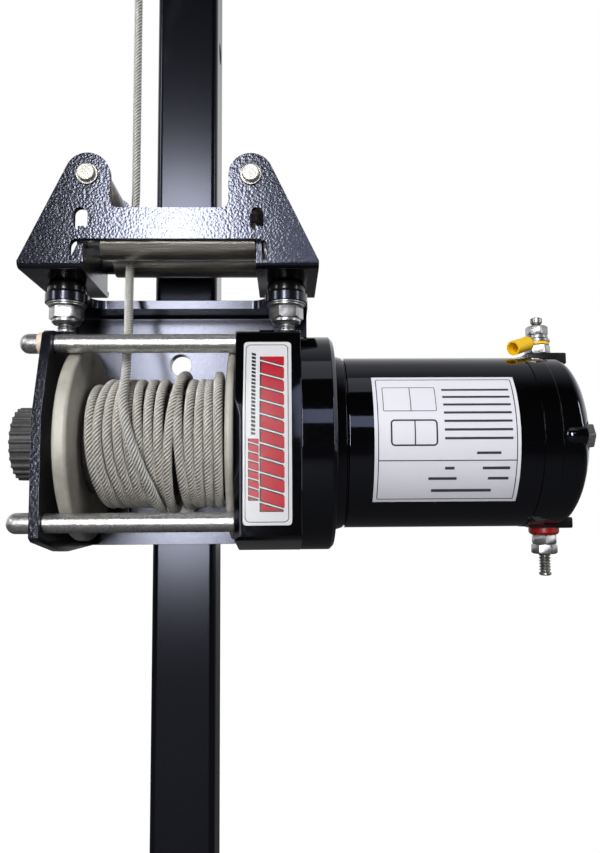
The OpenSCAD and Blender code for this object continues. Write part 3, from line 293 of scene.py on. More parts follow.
def smooth_run(points, step):
    """Points every step along a Catmull-Rom curve through the given ones."""
    p = np.array(points, float)
    p = np.vstack([2 * p[0] - p[1], p, 2 * p[-1] - p[-2]])
    fine = []
    for a, b, c, d in zip(p[:-3], p[1:-2], p[2:-1], p[3:]):
        for t in np.linspace(0, 1, curve_steps, endpoint=False):
            fine.append(0.5 * (2 * b + (c - a) * t + (2 * a - 5 * b + 4 * c - d) * t**2
                               + (3 * b - a - 3 * c + d) * t**3))
    fine = np.array(fine + [p[-2]])
    return evened(fine, max(2, int(round(reach_along(fine)[-1] / step))) + 1)


def crossings(run, outward):
    """Two directions across the run at each point, the first one kept steady or turned outward."""
    tangent = np.gradient(run, axis=0)
    tangent /= np.linalg.norm(tangent, axis=1)[:, None]
    side = np.zeros_like(run)
    if outward is None:
        ref = np.array([1.0, 0, 0])
        for i in range(len(run)):
            ref = ref - tangent[i] * ref.dot(tangent[i])
            ref /= np.linalg.norm(ref)
            side[i] = ref
    else:
        side = outward - tangent * np.sum(outward * tangent, axis=1)[:, None]
        side /= np.linalg.norm(side, axis=1)[:, None]
    return side, np.cross(tangent, side)


def tube_faces(count, per):
    """Faces between count rings of per corners, closed by a fan round a last corner at each end."""
    last = (count - 1) * per
    sides = [(k, (k + 1) % per) for k in range(per)]
    faces = [(i + k, i + m, i + per + m, i + per + k) for i in range(0, last, per) for k, m in sides]
    for k, m in sides:
        faces += [(count * per, m, k), (count * per + 1, last + k, last + m)]
    return faces


def tube_map(mesh, per, reach):
    """A map that runs once round the tube, closing at 1, and along it in metres."""
    sheet = mesh.uv_layers.new(name="along").data
    ends = len(reach) * per
    for face in mesh.polygons:
        closing = any(v < ends and v % per == per - 1 for v in face.vertices)
        for loop, vert in zip(face.loop_indices, face.vertices):
            if vert < ends:
                i, k = divmod(vert, per)
                sheet[loop].uv = (1.0 if k == 0 and closing else k / per, reach[i])
            else:
                sheet[loop].uv = (0.5, 0 if vert == ends else reach[-1])


def laid_rope(name, run, diameter, outward=None):
    """A closed tube of twisted strands along run, with a mask that is 1 in the hollows between them."""
    side, third = crossings(run, outward)
    reach = reach_along(run)
    strand_r, centre = diameter / 2 * strand_share, diameter / 2 * centre_share
    turn = 2 * np.pi * reach / rope_lay
    angle = np.arange(ring_corners) * 2 * np.pi / ring_corners
    lobe = (angle + strand_pitch / 2) % strand_pitch - strand_pitch / 2
    size = centre * np.cos(lobe) + np.sqrt(np.maximum(strand_r**2 - (centre * np.sin(lobe))**2, 0))
    a = angle[None, :] + turn[:, None]
    spokes = np.cos(a)[..., None] * side[:, None, :] + np.sin(a)[..., None] * third[:, None, :]
    verts = (run[:, None, :] + spokes * size[None, :, None]).reshape(-1, 3)
    mesh = bpy.data.meshes.new(name)
    mesh.from_pydata(np.vstack([verts, run[0], run[-1]]).tolist(), [], tube_faces(len(run), ring_corners))
    mesh.update()
    tube_map(mesh, ring_corners, reach)
    # mask for the painted shade in the hollows: 1 at the bottom of each hollow, 0 on the strands' crowns
    dip = mesh.attributes.new("hollow", "FLOAT", "POINT")
    depth_of = ((size.max() - size) / (size.max() - size.min()))**1.1
    dip.data.foreach_set("value", np.append(np.tile(depth_of, len(run)), [0, 0]).astype(np.float32))
    mesh.polygons.foreach_set("use_smooth", [True] * len(mesh.polygons))
    rope = bpy.data.objects.new(name, mesh)
    scene.collection.objects.link(rope)
    return rope


# The lead's route, as the plain tube of the source has it, from the drum's underside to the ferrule
lead_route = [
    (-1, -3, -37), (-1, -12.5, -35), (-2, -21.5, -30.5), (-4, -28.5, -24), (-7, -33.5, -16),
    (-10.5, -36.5, -6.5), (-13.5, -37, 3), (-16, -35, 12.5), (-17.5, -30.5, 21.5), (-18, -23, 32.5),
    (-19, -16, 43), (-20, -8.5, 54), (-21.5, -1, 64.5), (-23, 6, 75.5), (-24.5, 13.5, 86.5),
    (-26, 21, 97.5), (-26.5, 25.5, 105.5), (-26.5, 27.5, 112.5), (-26, 28, 121), (-25, 28, 134),
    (-24.5, 28, 149), (-24.5, 28, 164), (-24.5, 28, 179), (-24.5, 28, 194), (-24.5, 28, 209),
    (-24.5, 28, 224), (-24.5, 28, 239), (-24.5, 28, 254), (-24.5, 28, 272),
]
lead_step, lead_share = 0.0009, 0.98  # spacing of its rings, and its width as a share of the rope's
lead_run = smooth_run([spot(*place) for place in lead_route], lead_step)
lead = laid_rope("rope_lead_laid", lead_run, rope_d * lead_share)
lead.data.materials.append(wire_finish("new_wire_rope", (1.0, 0.99, 0.95), (0.78, 0.76, 0.70), 0.26, 0.3))
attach(lead, "frame")
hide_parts("rope_lead")

# Turns on the drum: the place along the drum at the top, the front and the bottom of each turn,
# and by turn and place the rise over the layer or the dip below it
turns = [
    (-34.7, -33.3, -27.8), (-27.3, -29.6, -23.1), (-23.6, -24.6, -17.9), (-20.4, -19.7, -13.2),
    (-17.2, -14.8, -9.0), (-13.0, -9.9, -5.4), (-6.6, -5.1, -2.3), (-0.8, -0.3, 0.4), (9.3, 4.6, 3.5),
    (6.6, 9.4, 12.4), (14.1, 14.3, 16.0), (18.8, 19.1, 18.7), (22.0, 23.9, 22.8), (26.8, 28.5, 27.3),
]
rises = {(0, 0): -3.0, (8, 0): 4.5, (13, 0): 4.2, (8, 2): 3.4, (9, 2): 1.2, (9, 0): 0.6, (12, 1): 0.5}
layer_r, wound_left, wound_right = 31.2, -36.2, 30.3
wound_d, wound_step, quarter_steps = 0.00495, 0.00094, 60
knots = np.array([
    (4 * n + quarter, max(wound_left, min(wound_right, x)), layer_r + rises.get((n, quarter), 0))
    for n, places in enumerate(turns) for quarter, x in enumerate(places)])
quarters = np.arange(0, knots[-1, 0] + 1e-6, 1 / quarter_steps)


def through(t, values, at):
    """A smooth curve through values at uneven times, by cubic Hermite pieces."""
    slope = np.gradient(values, t)
    i = np.clip(np.searchsorted(t, at, side="right") - 1, 0, len(t) - 2)
    h = t[i + 1] - t[i]
    u = (at - t[i]) / h
    return ((2 * u**3 - 3 * u**2 + 1) * values[i] + (u**3 - 2 * u**2 + u) * h * slope[i]
            + (-2 * u**3 + 3 * u**2) * values[i + 1] + (u**3 - u**2) * h * slope[i + 1])


wound_x, wound_r = (through(knots[:, 0], knots[:, k], quarters) for k in (1, 2))
angle = math.pi / 2 + quarters * math.pi / 2
wound = np.stack([wound_x * MM, axis_y + wound_r * np.cos(angle) * MM,
                  axis_z + wound_r * np.sin(angle) * MM], axis=1)
wound_run = evened(wound, int(reach_along(wound)[-1] / wound_step))
outward = wound_run - np.array([0, axis_y, axis_z])
outward[:, 0] = 0
winding = laid_rope("rope_winding_laid", wound_run, wound_d, outward)
winding.data.materials.append(
    wire_finish("worn_wire_rope", (1.0, 0.97, 0.90), (0.70, 0.66, 0.59), 0.22, 0.16))
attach(winding, "drum")
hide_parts("rope_winding")


def alone(piece):
    """Make the piece the only one selected."""
    bpy.ops.object.select_all(action="DESELECT")
    piece.select_set(True)
    bpy.context.view_layer.objects.active = piece


def mode(kind):
    """Switch the active piece to EDIT or OBJECT mode."""
    bpy.ops.object.mode_set(mode=kind)


def started(name, add, **how):
    """A new primitive under its name, with nothing else selected."""
    alone(floor)
    add(**how)
    piece = bpy.context.object
    piece.name = name
    return piece


def modified(piece, kind, **settings):
    """Give the active piece a modifier with these settings, and apply it."""
    change = piece.modifiers.new(kind.lower(), kind)
    for key, value in settings.items():
        setattr(change, key, value)
    bpy.ops.object.modifier_apply(modifier=change.name)


def finished(piece, finish):
    """Cover the whole piece with one finish."""
    piece.data.materials.clear()
    piece.data.materials.append(finish)


def placed(piece, finish, node):
    """Finish a piece and let it stand for a CAD node, moving with that node's body."""
    finished(piece, finish)
    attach(piece, nodes[node]["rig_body"])
    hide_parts(node)


def settled(piece, finish, node, smooth=35):
    """Shade a new piece smooth up to an angle in degrees, and place it."""
    alone(piece)
    bpy.ops.object.shade_smooth_by_angle(angle=math.radians(smooth))
    placed(piece, finish, node)


def softened(node, width, finish, bends=(), segments=2, angle=32):
    """The CAD piece with real folds and rounded sharp edges, as tumbling and paint leave them."""
    piece = bpy.data.objects.new(node + "_dressed", nodes[node].data.copy())
    scene.collection.objects.link(piece)
    alone(piece)
    bpy.ops.mesh.customdata_custom_splitnormals_clear()
    mode("EDIT")
    bpy.ops.mesh.select_all(action="SELECT")
    bpy.ops.mesh.remove_doubles(threshold=5e-6)
    bpy.ops.mesh.dissolve_limited(angle_limit=math.radians(1))
    for radius, on_fold in bends:
        bpy.ops.mesh.select_mode(type="EDGE")
        bpy.ops.mesh.select_all(action="DESELECT")
        mode("OBJECT")
        corners = piece.data.vertices
        for edge in piece.data.edges:
            edge.select = all(on_fold(corners[v].co) for v in edge.vertices)
        mode("EDIT")
        bpy.ops.mesh.bevel(offset=radius, segments=5, affect="EDGES")
    mode("OBJECT")
    modified(piece, "BEVEL", width=width, segments=segments, angle_limit=math.radians(angle),
             use_clamp_overlap=True)
    bpy.ops.object.shade_smooth_by_angle(angle=math.radians(35))
    modified(piece, "WEIGHTED_NORMAL", keep_sharp=True)
    placed(piece, finish, node)


violet = (0.76, 0.80, 1.0, 1)  # the tint of the paint's sheen
mast_paint = surface("mast_paint", (0.0015, 0.0016, 0.0030), (0.0020, 0.0021, 0.0035), 0.20, 0.22,
                     scale=120, IOR=1.55, Specular_Tint=violet)
hitch_paint = surface("hitch_paint", (0.005, 0.005, 0.007), (0.009, 0.009, 0.011), 0.32, 0.42,
                      scale=60, bump=0.00006, Specular_Tint=violet)
zinc = surface("zinc_plate", (0.56, 0.56, 0.57), (0.38, 0.38, 0.385), 0.30, 0.44, scale=160,
               bump=0.00002, Metallic=1.0)
softened("mast_tube", 0.0004, mast_paint)
softened("mast_socket", 0.0012, hitch_paint)
softened("hitch_shank", 0.0008, hitch_paint)
softened("socket_gusset", 0.0009, hitch_paint)
softened("socket_bolt", 0.0005, zinc)
softened("mast_bolts", 0.0005, zinc)
bead_flat, bead_shift, bead_step, thin_share = 0.55, 0.2, 0.7, 0.8  # shares of a bead's radius


def weld_bead(name, start, end, radius):
    """A row of flattened overlapping ripples along a seam."""
    run = Vector(end) - Vector(start)
    bead = started(name, bpy.ops.mesh.primitive_uv_sphere_add, segments=14, ring_count=9, radius=radius)
    mode("EDIT")
    bpy.ops.transform.resize(value=(1, 1, bead_flat))
    bpy.ops.transform.translate(value=(0, 0, radius * bead_shift))
    mode("OBJECT")
    ripple = radius * bead_step
    modified(bead, "ARRAY", use_relative_offset=False, use_constant_offset=True,
             constant_offset_displace=(0, 0, ripple), count=max(2, int(run.length / ripple)))
    bead.rotation_euler = run.to_track_quat("Z", "Y").to_euler()
    bead.location = start
    bpy.ops.object.transform_apply(location=True, rotation=True, scale=True)
    bpy.ops.object.shade_smooth()
    bead.data.materials.append(hitch_paint)
    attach(bead, nodes["hitch_shank"]["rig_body"])


seam_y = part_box("mast_socket")[1][1]
shank_low, shank_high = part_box("hitch_shank")
gusset_low, gusset_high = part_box("socket_gusset")
bead_r, edge_gap, end_gap, corner_share = 0.0026, 0.003, 0.002, 0.97
for side, x in (("left", shank_low[0]), ("right", shank_high[0])):
    inner = x * corner_share
    weld_bead("shank_weld_" + side, (inner, seam_y, shank_low[2] + edge_gap),
              (inner, seam_y, shank_high[2]), bead_r)
for side, x in (("left", gusset_low[0]), ("right", gusset_high[0])):
    weld_bead("gusset_foot_weld_" + side, (x, gusset_low[1] + end_gap, gusset_low[2]),
              (x, gusset_high[1] - end_gap, gusset_low[2]), bead_r * thin_share)
    weld_bead("gusset_back_weld_" + side, (x, gusset_low[1], gusset_low[2] + end_gap),
              (x, gusset_low[1], gusset_high[2] - end_gap), bead_r * thin_share)

# Mount plate: 5 mm steel folded forward at the top, with rounded ears for the fairlead's
# bolts, painted gloss black. Two bolts clamp it to the mast and four hold the winch to it.
plate_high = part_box("mount_plate")[1]
plate_t, plate_outer_fold, plate_inner_fold = 0.005, 0.0046, 0.0016
plate_paint = surface("plate_paint", (0.0045, 0.0045, 0.0075), (0.008, 0.008, 0.012), 0.17, 0.22,
                      scale=90, bump=0.00001, IOR=1.7, Specular_Tint=violet)


def fold_at(y, z, radius):
    """A fold's radius, and a test for corners on the edge that runs along X at this place."""
    return radius, lambda p: abs(p.y - y) < 1e-5 and abs(p.z - z) < 1e-5


softened("mount_plate", 0.0012, plate_paint, segments=3, bends=(
    fold_at(plate_high[1], plate_high[2], plate_outer_fold),
    fold_at(plate_high[1] - plate_t, plate_high[2] - plate_t, plate_inner_fold)))
softened("winch_bolts", 0.0004, zinc)

# Roller fairlead: 4 mm steel folded to a channel, with a hammered powder coat. Four plain
# steel rollers turn on pins, and two carriage bolts hold it on black spacers.
fair_low, fair_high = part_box("fairlead_bracket")
fair_t, fair_outer_fold, fair_inner_fold = 0.004, 0.0032, 0.001


def hammered(name, colour, second, rough):
    """Powder coat with a hammered skin: small rounded cells with low rims between them."""
    cell, rise, wander = 0.00125, 0.000065, (0.0008, 0.0008, 0.0008)
    finish = surface(name, colour, second, rough, rough + 0.04, scale=60, IOR=1.9, Specular_Tint=violet)
    tree = finish.node_tree
    source = shader_node(tree, "TexCoord").outputs["Object"]
    warp = shader_node(tree, "TexNoise", Scale=900.0, Detail=2.0)
    tree.links.new(source, warp.inputs["Vector"])
    shifted = calculated(tree, "VectorMath", "MULTIPLY_ADD", warp.outputs["Color"], wander, source)
    cells = shader_node(tree, "TexVoronoi", feature="SMOOTH_F1", Scale=1 / cell, Smoothness=0.7)
    tree.links.new(shifted, cells.inputs["Vector"])
    raised(tree, cells.outputs["Distance"], rise, strength=1.0, invert=True)
    return finish


hammered_paint = hammered("hammered_paint", (0.0022, 0.0022, 0.0042), (0.0036, 0.0036, 0.006), 0.15)
spacer_rubber = surface("spacer_rubber", (0.004, 0.004, 0.0045), (0.009, 0.009, 0.009), 0.16, 0.26)
roller_steel = surface("roller_steel", (0.66, 0.62, 0.57), (0.26, 0.235, 0.21), 0.24, 0.38, scale=34,
                       stretch=(0.25, 9, 9), bump=0.00003, Metallic=0.9)
pin_steel = surface("pin_steel", (0.55, 0.54, 0.50), (0.40, 0.385, 0.35), 0.34, 0.5, scale=260,
                    bump=0.00003, Metallic=0.75)
softened("fairlead_bracket", 0.0009, hammered_paint, segments=3, bends=(
    fold_at(fair_low[1], fair_low[2], fair_outer_fold),
    fold_at(fair_high[1], fair_low[2], fair_outer_fold),
    fold_at(fair_low[1] + fair_t, fair_low[2] + fair_t, fair_inner_fold),
    fold_at(fair_high[1] - fair_t, fair_low[2] + fair_t, fair_inner_fold)))
softened("fairlead_spacers", 0.0018, spacer_rubber, segments=3)
for name in ("long_roller_front", "long_roller_rear", "side_roller_left", "side_roller_right"):
    softened(name, 0.0006, roller_steel)
softened("side_roller_pins", 0.0009, pin_steel, segments=3)
softened("long_roller_pins", 0.0006, pin_steel)
softened("roller_clips", 0.0004, pin_steel)


def stood(piece, at, along, turn=0.0):
    """Turn the piece's Z to point along a direction, move it and settle its place into its mesh."""
    alone(piece)
    piece.rotation_mode = "QUATERNION"
    piece.rotation_quaternion = Vector(along).to_track_quat("Z", "Y") @ Quaternion((0, 0, 1), turn)
    piece.location = at
    bpy.ops.object.transform_apply(location=True, rotation=True, scale=True)
    piece.rotation_mode = "XYZ"
    return piece


def turned(name, outline, steps=40):
    """A lathe-turned solid: pairs of height and radius in millimetres, turned round Z."""
    piece = started(name, bpy.ops.mesh.primitive_plane_add, size=0.001)
    mode("EDIT")
    bpy.ops.mesh.select_mode(type="VERT")
    bpy.ops.mesh.select_all(action="SELECT")
    bpy.ops.mesh.merge(type="CENTER")
    bpy.ops.transform.translate(value=(outline[0][1] * MM, 0, outline[0][0] * MM))
    for (a, r), (b, s) in zip(outline, outline[1:]):
        bpy.ops.mesh.extrude_vertices_move(TRANSFORM_OT_translate={"value": ((s - r) * MM, 0, (b - a) * MM)})
    bpy.ops.mesh.select_all(action="SELECT")
    bpy.ops.mesh.spin(steps=steps, angle=2 * math.pi, center=(0, 0, 0), axis=(0, 0, 1))
    bpy.ops.mesh.select_all(action="SELECT")
    bpy.ops.mesh.remove_doubles(threshold=1e-6)
    bpy.ops.mesh.normals_make_consistent(inside=False)
    mode("OBJECT")
    return piece


def washer(height, radius, hole, rim=0.25):
    """The outline of a washer with its outer edges broken by rim."""
    return [(0, hole), (0, radius - rim), (rim, radius), (height - rim, radius), (height, radius - rim),
            (height, hole), (0, hole)]


def thread(start, end, radius, pitch):
    """The outline of a threaded rod with a chamfered tip at its end."""
    step = pitch if end > start else -pitch
    outline = [(start, 0), (start, radius)]
    for k in range(int(abs(end - start) / pitch) - 1):
        outline += [(start + (k + 0.5) * step, radius - 0.6 * pitch), (start + (k + 1) * step, radius)]
    return outline + [(end - 0.3 * step, radius), (end, radius - 0.5 * pitch), (end, 0)]


def hex_nut(name, across, height):
    """A hexagon whose corners are turned off in a cone at both faces."""
    nut = started(name, bpy.ops.mesh.primitive_cylinder_add, vertices=6, radius=across / math.sqrt(3) * MM,
                  depth=height * MM, location=(0, 0, height / 2 * MM))
    bpy.ops.object.transform_apply(location=True, rotation=True, scale=True)
    corner, flat = across / math.sqrt(3) + 0.05, across * 0.49
    slope = (corner - flat) * 0.6
    cone = turned("cone", [(0, 0), (0, flat), (slope, corner), (height - slope, corner), (height, flat),
                           (height, 0)], 48)
    alone(nut)
    modified(nut, "BOOLEAN", operation="INTERSECT", object=cone, solver="EXACT")
    bpy.data.objects.remove(cone)
    modified(nut, "BEVEL", width=0.00012, segments=1, angle_limit=math.radians(25))
    return nut


def joined(name, pieces):
    """The pieces as one object."""
    alone(pieces[0])
    for piece in pieces[1:]:
        piece.select_set(True)
    bpy.ops.object.join()
    bpy.context.object.name = name
    return bpy.context.object


def copied(piece, name, shift):
    """The same piece again, with its own mesh, a shift away."""
    twin = piece.copy()
    twin.data = piece.data.copy()
    twin.name = name
    scene.collection.objects.link(twin)
    twin.data.transform(Matrix.Translation(shift))
    return twin


# Each carriage bolt goes down through bracket, spacer and plate to two washers and a locking nut
down, upward = (0, 0, -1), (0, 0, 1)
bolt_x, bolt_y, head_z, nut_z = 62.0, 25.0, 96.5, 79.0
washer_t, broad_r, narrow_r, hole_r = 1.0, 11, 10.2, 5
nut_across, nut_h, nut_turn = 17, 7.4, 0.42
stud_r, stud_l, stud_pitch, shank_r, shank_l = 4.95, 15, 1.5, 5, 17.5
nylon_collar = [(0, 0), (0, 8.1), (1.4, 8.1), (2.4, 7.2), (2.6, 5.6), (2.6, 0)]
domed_head = [(0, 0), (0, 10), (0.7, 10), (1.9, 8.8), (3.1, 6.2), (3.8, 3), (4, 0)]
across_plate = (2 * bolt_x * MM, 0, 0)
left_stack = joined("fairlead_nut_left", [
    stood(turned("broad_washer", washer(washer_t, broad_r, hole_r)),
          spot(-bolt_x, bolt_y, nut_z + 2 * washer_t), down),
    stood(turned("narrow_washer", washer(washer_t, narrow_r, hole_r)),
          spot(-bolt_x, bolt_y, nut_z + washer_t), down),
    stood(hex_nut("fair_nut", nut_across, nut_h), spot(-bolt_x, bolt_y, nut_z), down, nut_turn),
    stood(turned("collar", nylon_collar), spot(-bolt_x, bolt_y, nut_z - nut_h), down),
])
right_stack = copied(left_stack, "fairlead_nut_right", across_plate)
left_bolt = joined("fairlead_bolt_left", [
    stood(turned("stud", thread(0, stud_l, stud_r, stud_pitch), 32), spot(-bolt_x, bolt_y, nut_z), down),
    stood(turned("shank", [(0, 0), (0, shank_r), (shank_l, shank_r), (shank_l, 0)]),
          spot(-bolt_x, bolt_y, nut_z), upward),
    stood(turned("carriage_head", domed_head), spot(-bolt_x, bolt_y, head_z), upward),
])
right_bolt = copied(left_bolt, "fairlead_bolt_right", across_plate)
for piece, node in ((left_stack, "fairlead_nuts"), (right_stack, "fairlead_nuts"),
                    (left_bolt, "fairlead_bolts"), (right_bolt, "fairlead_bolts")):
    settled(piece, zinc, node)

# Winch frame: a 4.5 mm end plate with the same hammered coat, two zinc-plated tie bars to the
# gear housing, and long screws through them with rounded cap heads. A cream nylon bush
# carries the drum's journal.
softened("end_plate", 0.0012, hammered_paint, segments=3)
bar_zinc = surface("tumbled_zinc", (0.74, 0.735, 0.74), (0.42, 0.405, 0.40), 0.22, 0.36, scale=900,
                   bump=0.00003, Metallic=0.95)
softened("tie_bars", 0.0006, bar_zinc)
tie_end, outside, inwards = -55.5, (-1, 0, 0), (1, 0, 0)
upper_tie, lower_tie = (-28.7, 47.2), (-40, -39.6)
head_r, head_l, head_top, rod_r, rod_l = 4.9, 8.3, 12.9, 3, 105
cap_head = [(0, 0), (0, head_r), (head_l, head_r)]
cap_head += [(head_l + head_r * math.sin(a) * 0.9, head_r * math.cos(a))
             for a in (0.25, 0.5, 0.75, 1.0, 1.25, 1.45)]
cap_head += [(head_top, 0)]
for place, (y, z) in (("upper", upper_tie), ("lower", lower_tie)):
    head = stood(turned("tie_head", cap_head), spot(tie_end, y, z), outside)
    rod = stood(turned("tie_rod", [(0, 0), (0, rod_r), (rod_l, rod_r), (rod_l, 0)], 24),
                spot(tie_end, y, z), inwards)
    settled(joined("tie_bolt_" + place, [head, rod]), bar_zinc, "tie_bolts")
collar_nylon = surface("collar_nylon", (0.68, 0.52, 0.42), (0.72, 0.64, 0.54), 0.35, 0.5, scale=300)
collar = stood(turned("upper_collar", washer(3.6, 5.5, 4.8, 0.5)), spot(tie_end, *upper_tie), outside)
settled(collar, collar_nylon, "tie_bolts")
bush_nylon = surface("bush_nylon", (0.70, 0.64, 0.48), (0.60, 0.53, 0.38), 0.35, 0.5, scale=120)
softened("clutch_bush", 0.0006, bush_nylon)

# Drum: a steel core with two thick flanges that wear a pale grey casting finish, rubbed
# and smudged by the rope, and the plain inner layers of rope under the outer one.
drum_cast = surface("drum_cast", (0.45, 0.435, 0.39), (0.27, 0.25, 0.215), 0.38, 0.58, scale=38,
                    bump=0.00008, Metallic=0.15)
inner_rope = surface("inner_rope", (0.10, 0.095, 0.085), (0.04, 0.038, 0.034), 0.5, 0.6, scale=500,
                     stretch=(6, 1, 1), bump=0.0003, Metallic=0.3)
softened("drum_flanges", 0.0012, drum_cast, segments=3)
softened("drum_core", 0.0005, drum_cast)
finished(nodes["rope_inner_layers"], inner_rope)

# Clutch: a ribbed plastic knob on a steel shaft that slides in the drum, with a spring
# behind it and a six-sided dog that drives the drum.
knob_plastic = surface("knob_plastic", (0.05, 0.05, 0.051), (0.068, 0.068, 0.069), 0.24, 0.34,
                       scale=260, bump=0.00002)
gear_steel = surface("gear_steel", (0.46, 0.45, 0.44), (0.34, 0.33, 0.31), 0.28, 0.4, scale=150,
                     Metallic=1.0)
wire_steel = surface("spring_steel", (0.30, 0.30, 0.31), (0.20, 0.20, 0.21), 0.25, 0.35, Metallic=1.0)
softened("clutch_knob", 0.0003, knob_plastic, segments=1, angle=50)
softened("clutch_shaft", 0.0004, gear_steel)
softened("clutch_circlip", 0.0002, gear_steel)
spring_low, spring_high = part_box("clutch_spring")
coils, coil_steps, wire_r, coil_r = 9, 20, 0.0006, 0.0058
spring_l = spring_high[0] - spring_low[0] - 2 * wire_r
spring_run = np.array([
    (spring_low[0] + wire_r + spring_l * k / (coils * coil_steps),
     axis_y + coil_r * math.cos(2 * math.pi * k / coil_steps),
     axis_z + coil_r * math.sin(2 * math.pi * k / coil_steps))
    for k in range(coils * coil_steps + 1)])
route = bpy.data.curves.new("clutch_spring_wire", "CURVE")
route.dimensions, route.bevel_depth, route.bevel_resolution, route.use_fill_caps = "3D", wire_r, 2, True
line = route.splines.new("POLY")
line.points.add(len(spring_run) - 1)
line.points.foreach_set("co", np.hstack([spring_run, np.ones((len(spring_run), 1))]).ravel())
spring = bpy.data.objects.new("clutch_spring_wire", route)
scene.collection.objects.link(spring)
alone(spring)
bpy.ops.object.convert(target="MESH")
settled(bpy.context.object, wire_steel, "clutch_spring")

# Gear housing: a die-cast case in deep gloss black, with softly rounded edges, and its
# bare printed plate on the front. Inside are the drum's bronze bush and the fixed ring gear.
gloss_paint = surface("gloss_paint", (0.0007, 0.0007, 0.0009), (0.0012, 0.0012, 0.0014), 0.05, 0.09,
                      scale=70, IOR=1.8, Specular_Tint=violet)
sintered_bronze = surface("sintered_bronze", (0.42, 0.27, 0.12), (0.32, 0.2, 0.09), 0.35, 0.5,
                          Metallic=1.0)
softened("gear_housing", 0.0022, gloss_paint, segments=4)
finished(nodes["drum_bush"], sintered_bronze)


def print_group():
    """Masks of a rounded frame and of a filled, striped patch, both on a plate's own coordinates."""
    group = bpy.data.node_groups.new("printed_patch", "ShaderNodeTree")
    for name, kind in (("Coordinates", "Vector"), ("Centre", "Vector"), ("Half", "Vector"),
                       ("Radius", "Float"), ("Line", "Float"), ("Pitch", "Float"), ("Share", "Float"),
                       ("Slant", "Float")):
        group.interface.new_socket(name, in_out="INPUT", socket_type="NodeSocket" + kind)
    for name in ("Frame", "Fill"):
        group.interface.new_socket(name, in_out="OUTPUT", socket_type="NodeSocketFloat")
    given, result = group.nodes.new("NodeGroupInput").outputs, group.nodes.new("NodeGroupOutput").inputs

    def scalar(operation, *sources):
        return calculated(group, "Math", operation, *sources)

    def vector(operation, *sources):
        return calculated(group, "VectorMath", operation, *sources)

    def parts_of(source):
        split = shader_node(group, "SeparateXYZ")
        group.links.new(source, split.inputs[0])
        return split.outputs

    corner = shader_node(group, "CombineXYZ")
    for socket in corner.inputs:
        group.links.new(given["Radius"], socket)
    local = vector("SUBTRACT", given["Coordinates"], given["Centre"])
    inner = vector("SUBTRACT", given["Half"], corner.outputs[0])
    away = vector("SUBTRACT", vector("ABSOLUTE", local), inner)
    beyond = vector("LENGTH", vector("MAXIMUM", away, (0, 0, 0)))
    away_x, away_y, _ = parts_of(away)
    inside = scalar("MINIMUM", scalar("MAXIMUM", away_x, away_y), 0.0)
    gap = scalar("SUBTRACT", scalar("ADD", beyond, inside), given["Radius"])
    half_line = scalar("MULTIPLY", given["Line"], 0.5)
    x, y, _ = parts_of(local)
    lean = scalar("ADD", y, scalar("MULTIPLY", x, given["Slant"]))
    stripe = scalar("LESS_THAN", scalar("FRACT", scalar("DIVIDE", lean, given["Pitch"])), given["Share"])
    group.links.new(scalar("LESS_THAN", scalar("ABSOLUTE", gap), half_line), result["Frame"])
    group.links.new(scalar("MULTIPLY", stripe, scalar("LESS_THAN", gap, 0.0)), result["Fill"])
    return group


printed_patch = print_group()


def printed(finish, prints):
    """Lay prints on a finish: kind, colour, box in millimetres and the patch's own values."""
    tree = finish.node_tree
    source = shader_node(tree, "TexCoord").outputs["UV"]
    for kind, ink, (u0, v0, u1, v1), own in prints:
        patch = tree.nodes.new("ShaderNodeGroup")
        patch.node_tree = printed_patch
        centre = ((u0 + u1) / 2 * MM, (v0 + v1) / 2 * MM, 0)
        half = ((u1 - u0) / 2 * MM, (v1 - v0) / 2 * MM, 1)
        whole = {"Centre": centre, "Half": half, "Pitch": 1.0, "Share": 2.0}  # one stripe covers the box
        for key, value in {**whole, **own}.items():
            patch.inputs[key].default_value = value
        tree.links.new(source, patch.inputs["Coordinates"])
        overlaid(tree, patch.outputs[kind], ink)


def plate_map(piece, where_at):
    """A UV map in metres from each corner's place."""
    sheet = piece.data.uv_layers[0].data
    for loop in piece.data.loops:
        sheet[loop.index].uv = where_at(piece.data.vertices[loop.vertex_index].co)


# The plate's print: a frame, two rows of slanted bars with dark edges, and a row of small bars
black_ink, red_ink = (0.012, 0.012, 0.014), (0.38, 0.002, 0.014)
broad_bar, narrow_bar = {"Pitch": 0.0068, "Slant": 0.30}, {"Pitch": 0.0041, "Slant": 0.30}
decal_film = surface("decal_film", (0.56, 0.56, 0.58), (0.54, 0.54, 0.56), 0.16, 0.24, scale=60, uv=True)
printed(decal_film, (
    ("Frame", black_ink, (-10.2, 1.5, 9.7, 86.9), {"Radius": 0.0022, "Line": 0.00035}),
    ("Fill", black_ink, (-3.6, 6.1, 7.4, 80.7), {**broad_bar, "Share": 0.90}),
    ("Fill", red_ink, (-2.9, 6.6, 7.9, 80.7), {**broad_bar, "Share": 0.76}),
    ("Fill", black_ink, (-8.9, 11.2, -4.1, 39.7), {**narrow_bar, "Share": 0.88}),
    ("Fill", red_ink, (-8.5, 11.5, -3.9, 39.5), {**narrow_bar, "Share": 0.70}),
    ("Fill", black_ink, (-7.5, 41.5, -5.5, 83.0), {"Pitch": 0.0019, "Share": 0.68, "Slant": 0.25}),
))
film_t = 0.0002
decal_low, decal_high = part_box("housing_decal")
decal_w, decal_h, decal_bend, decal_corner = decal_high[0] - decal_low[0], 0.0885, 0.051, 0.0018
decal = started("housing_plate_print", bpy.ops.mesh.primitive_plane_add, size=1)
mode("EDIT")
bpy.ops.transform.resize(value=(decal_w, decal_h, 1))
bpy.ops.transform.translate(value=(0, decal_h / 2, 0))
bpy.ops.mesh.bevel(offset=decal_corner, segments=5, affect="VERTICES")
bpy.ops.mesh.select_all(action="SELECT")
bpy.ops.mesh.bisect(plane_co=(0, decal_bend, 0), plane_no=(0, 1, 0))
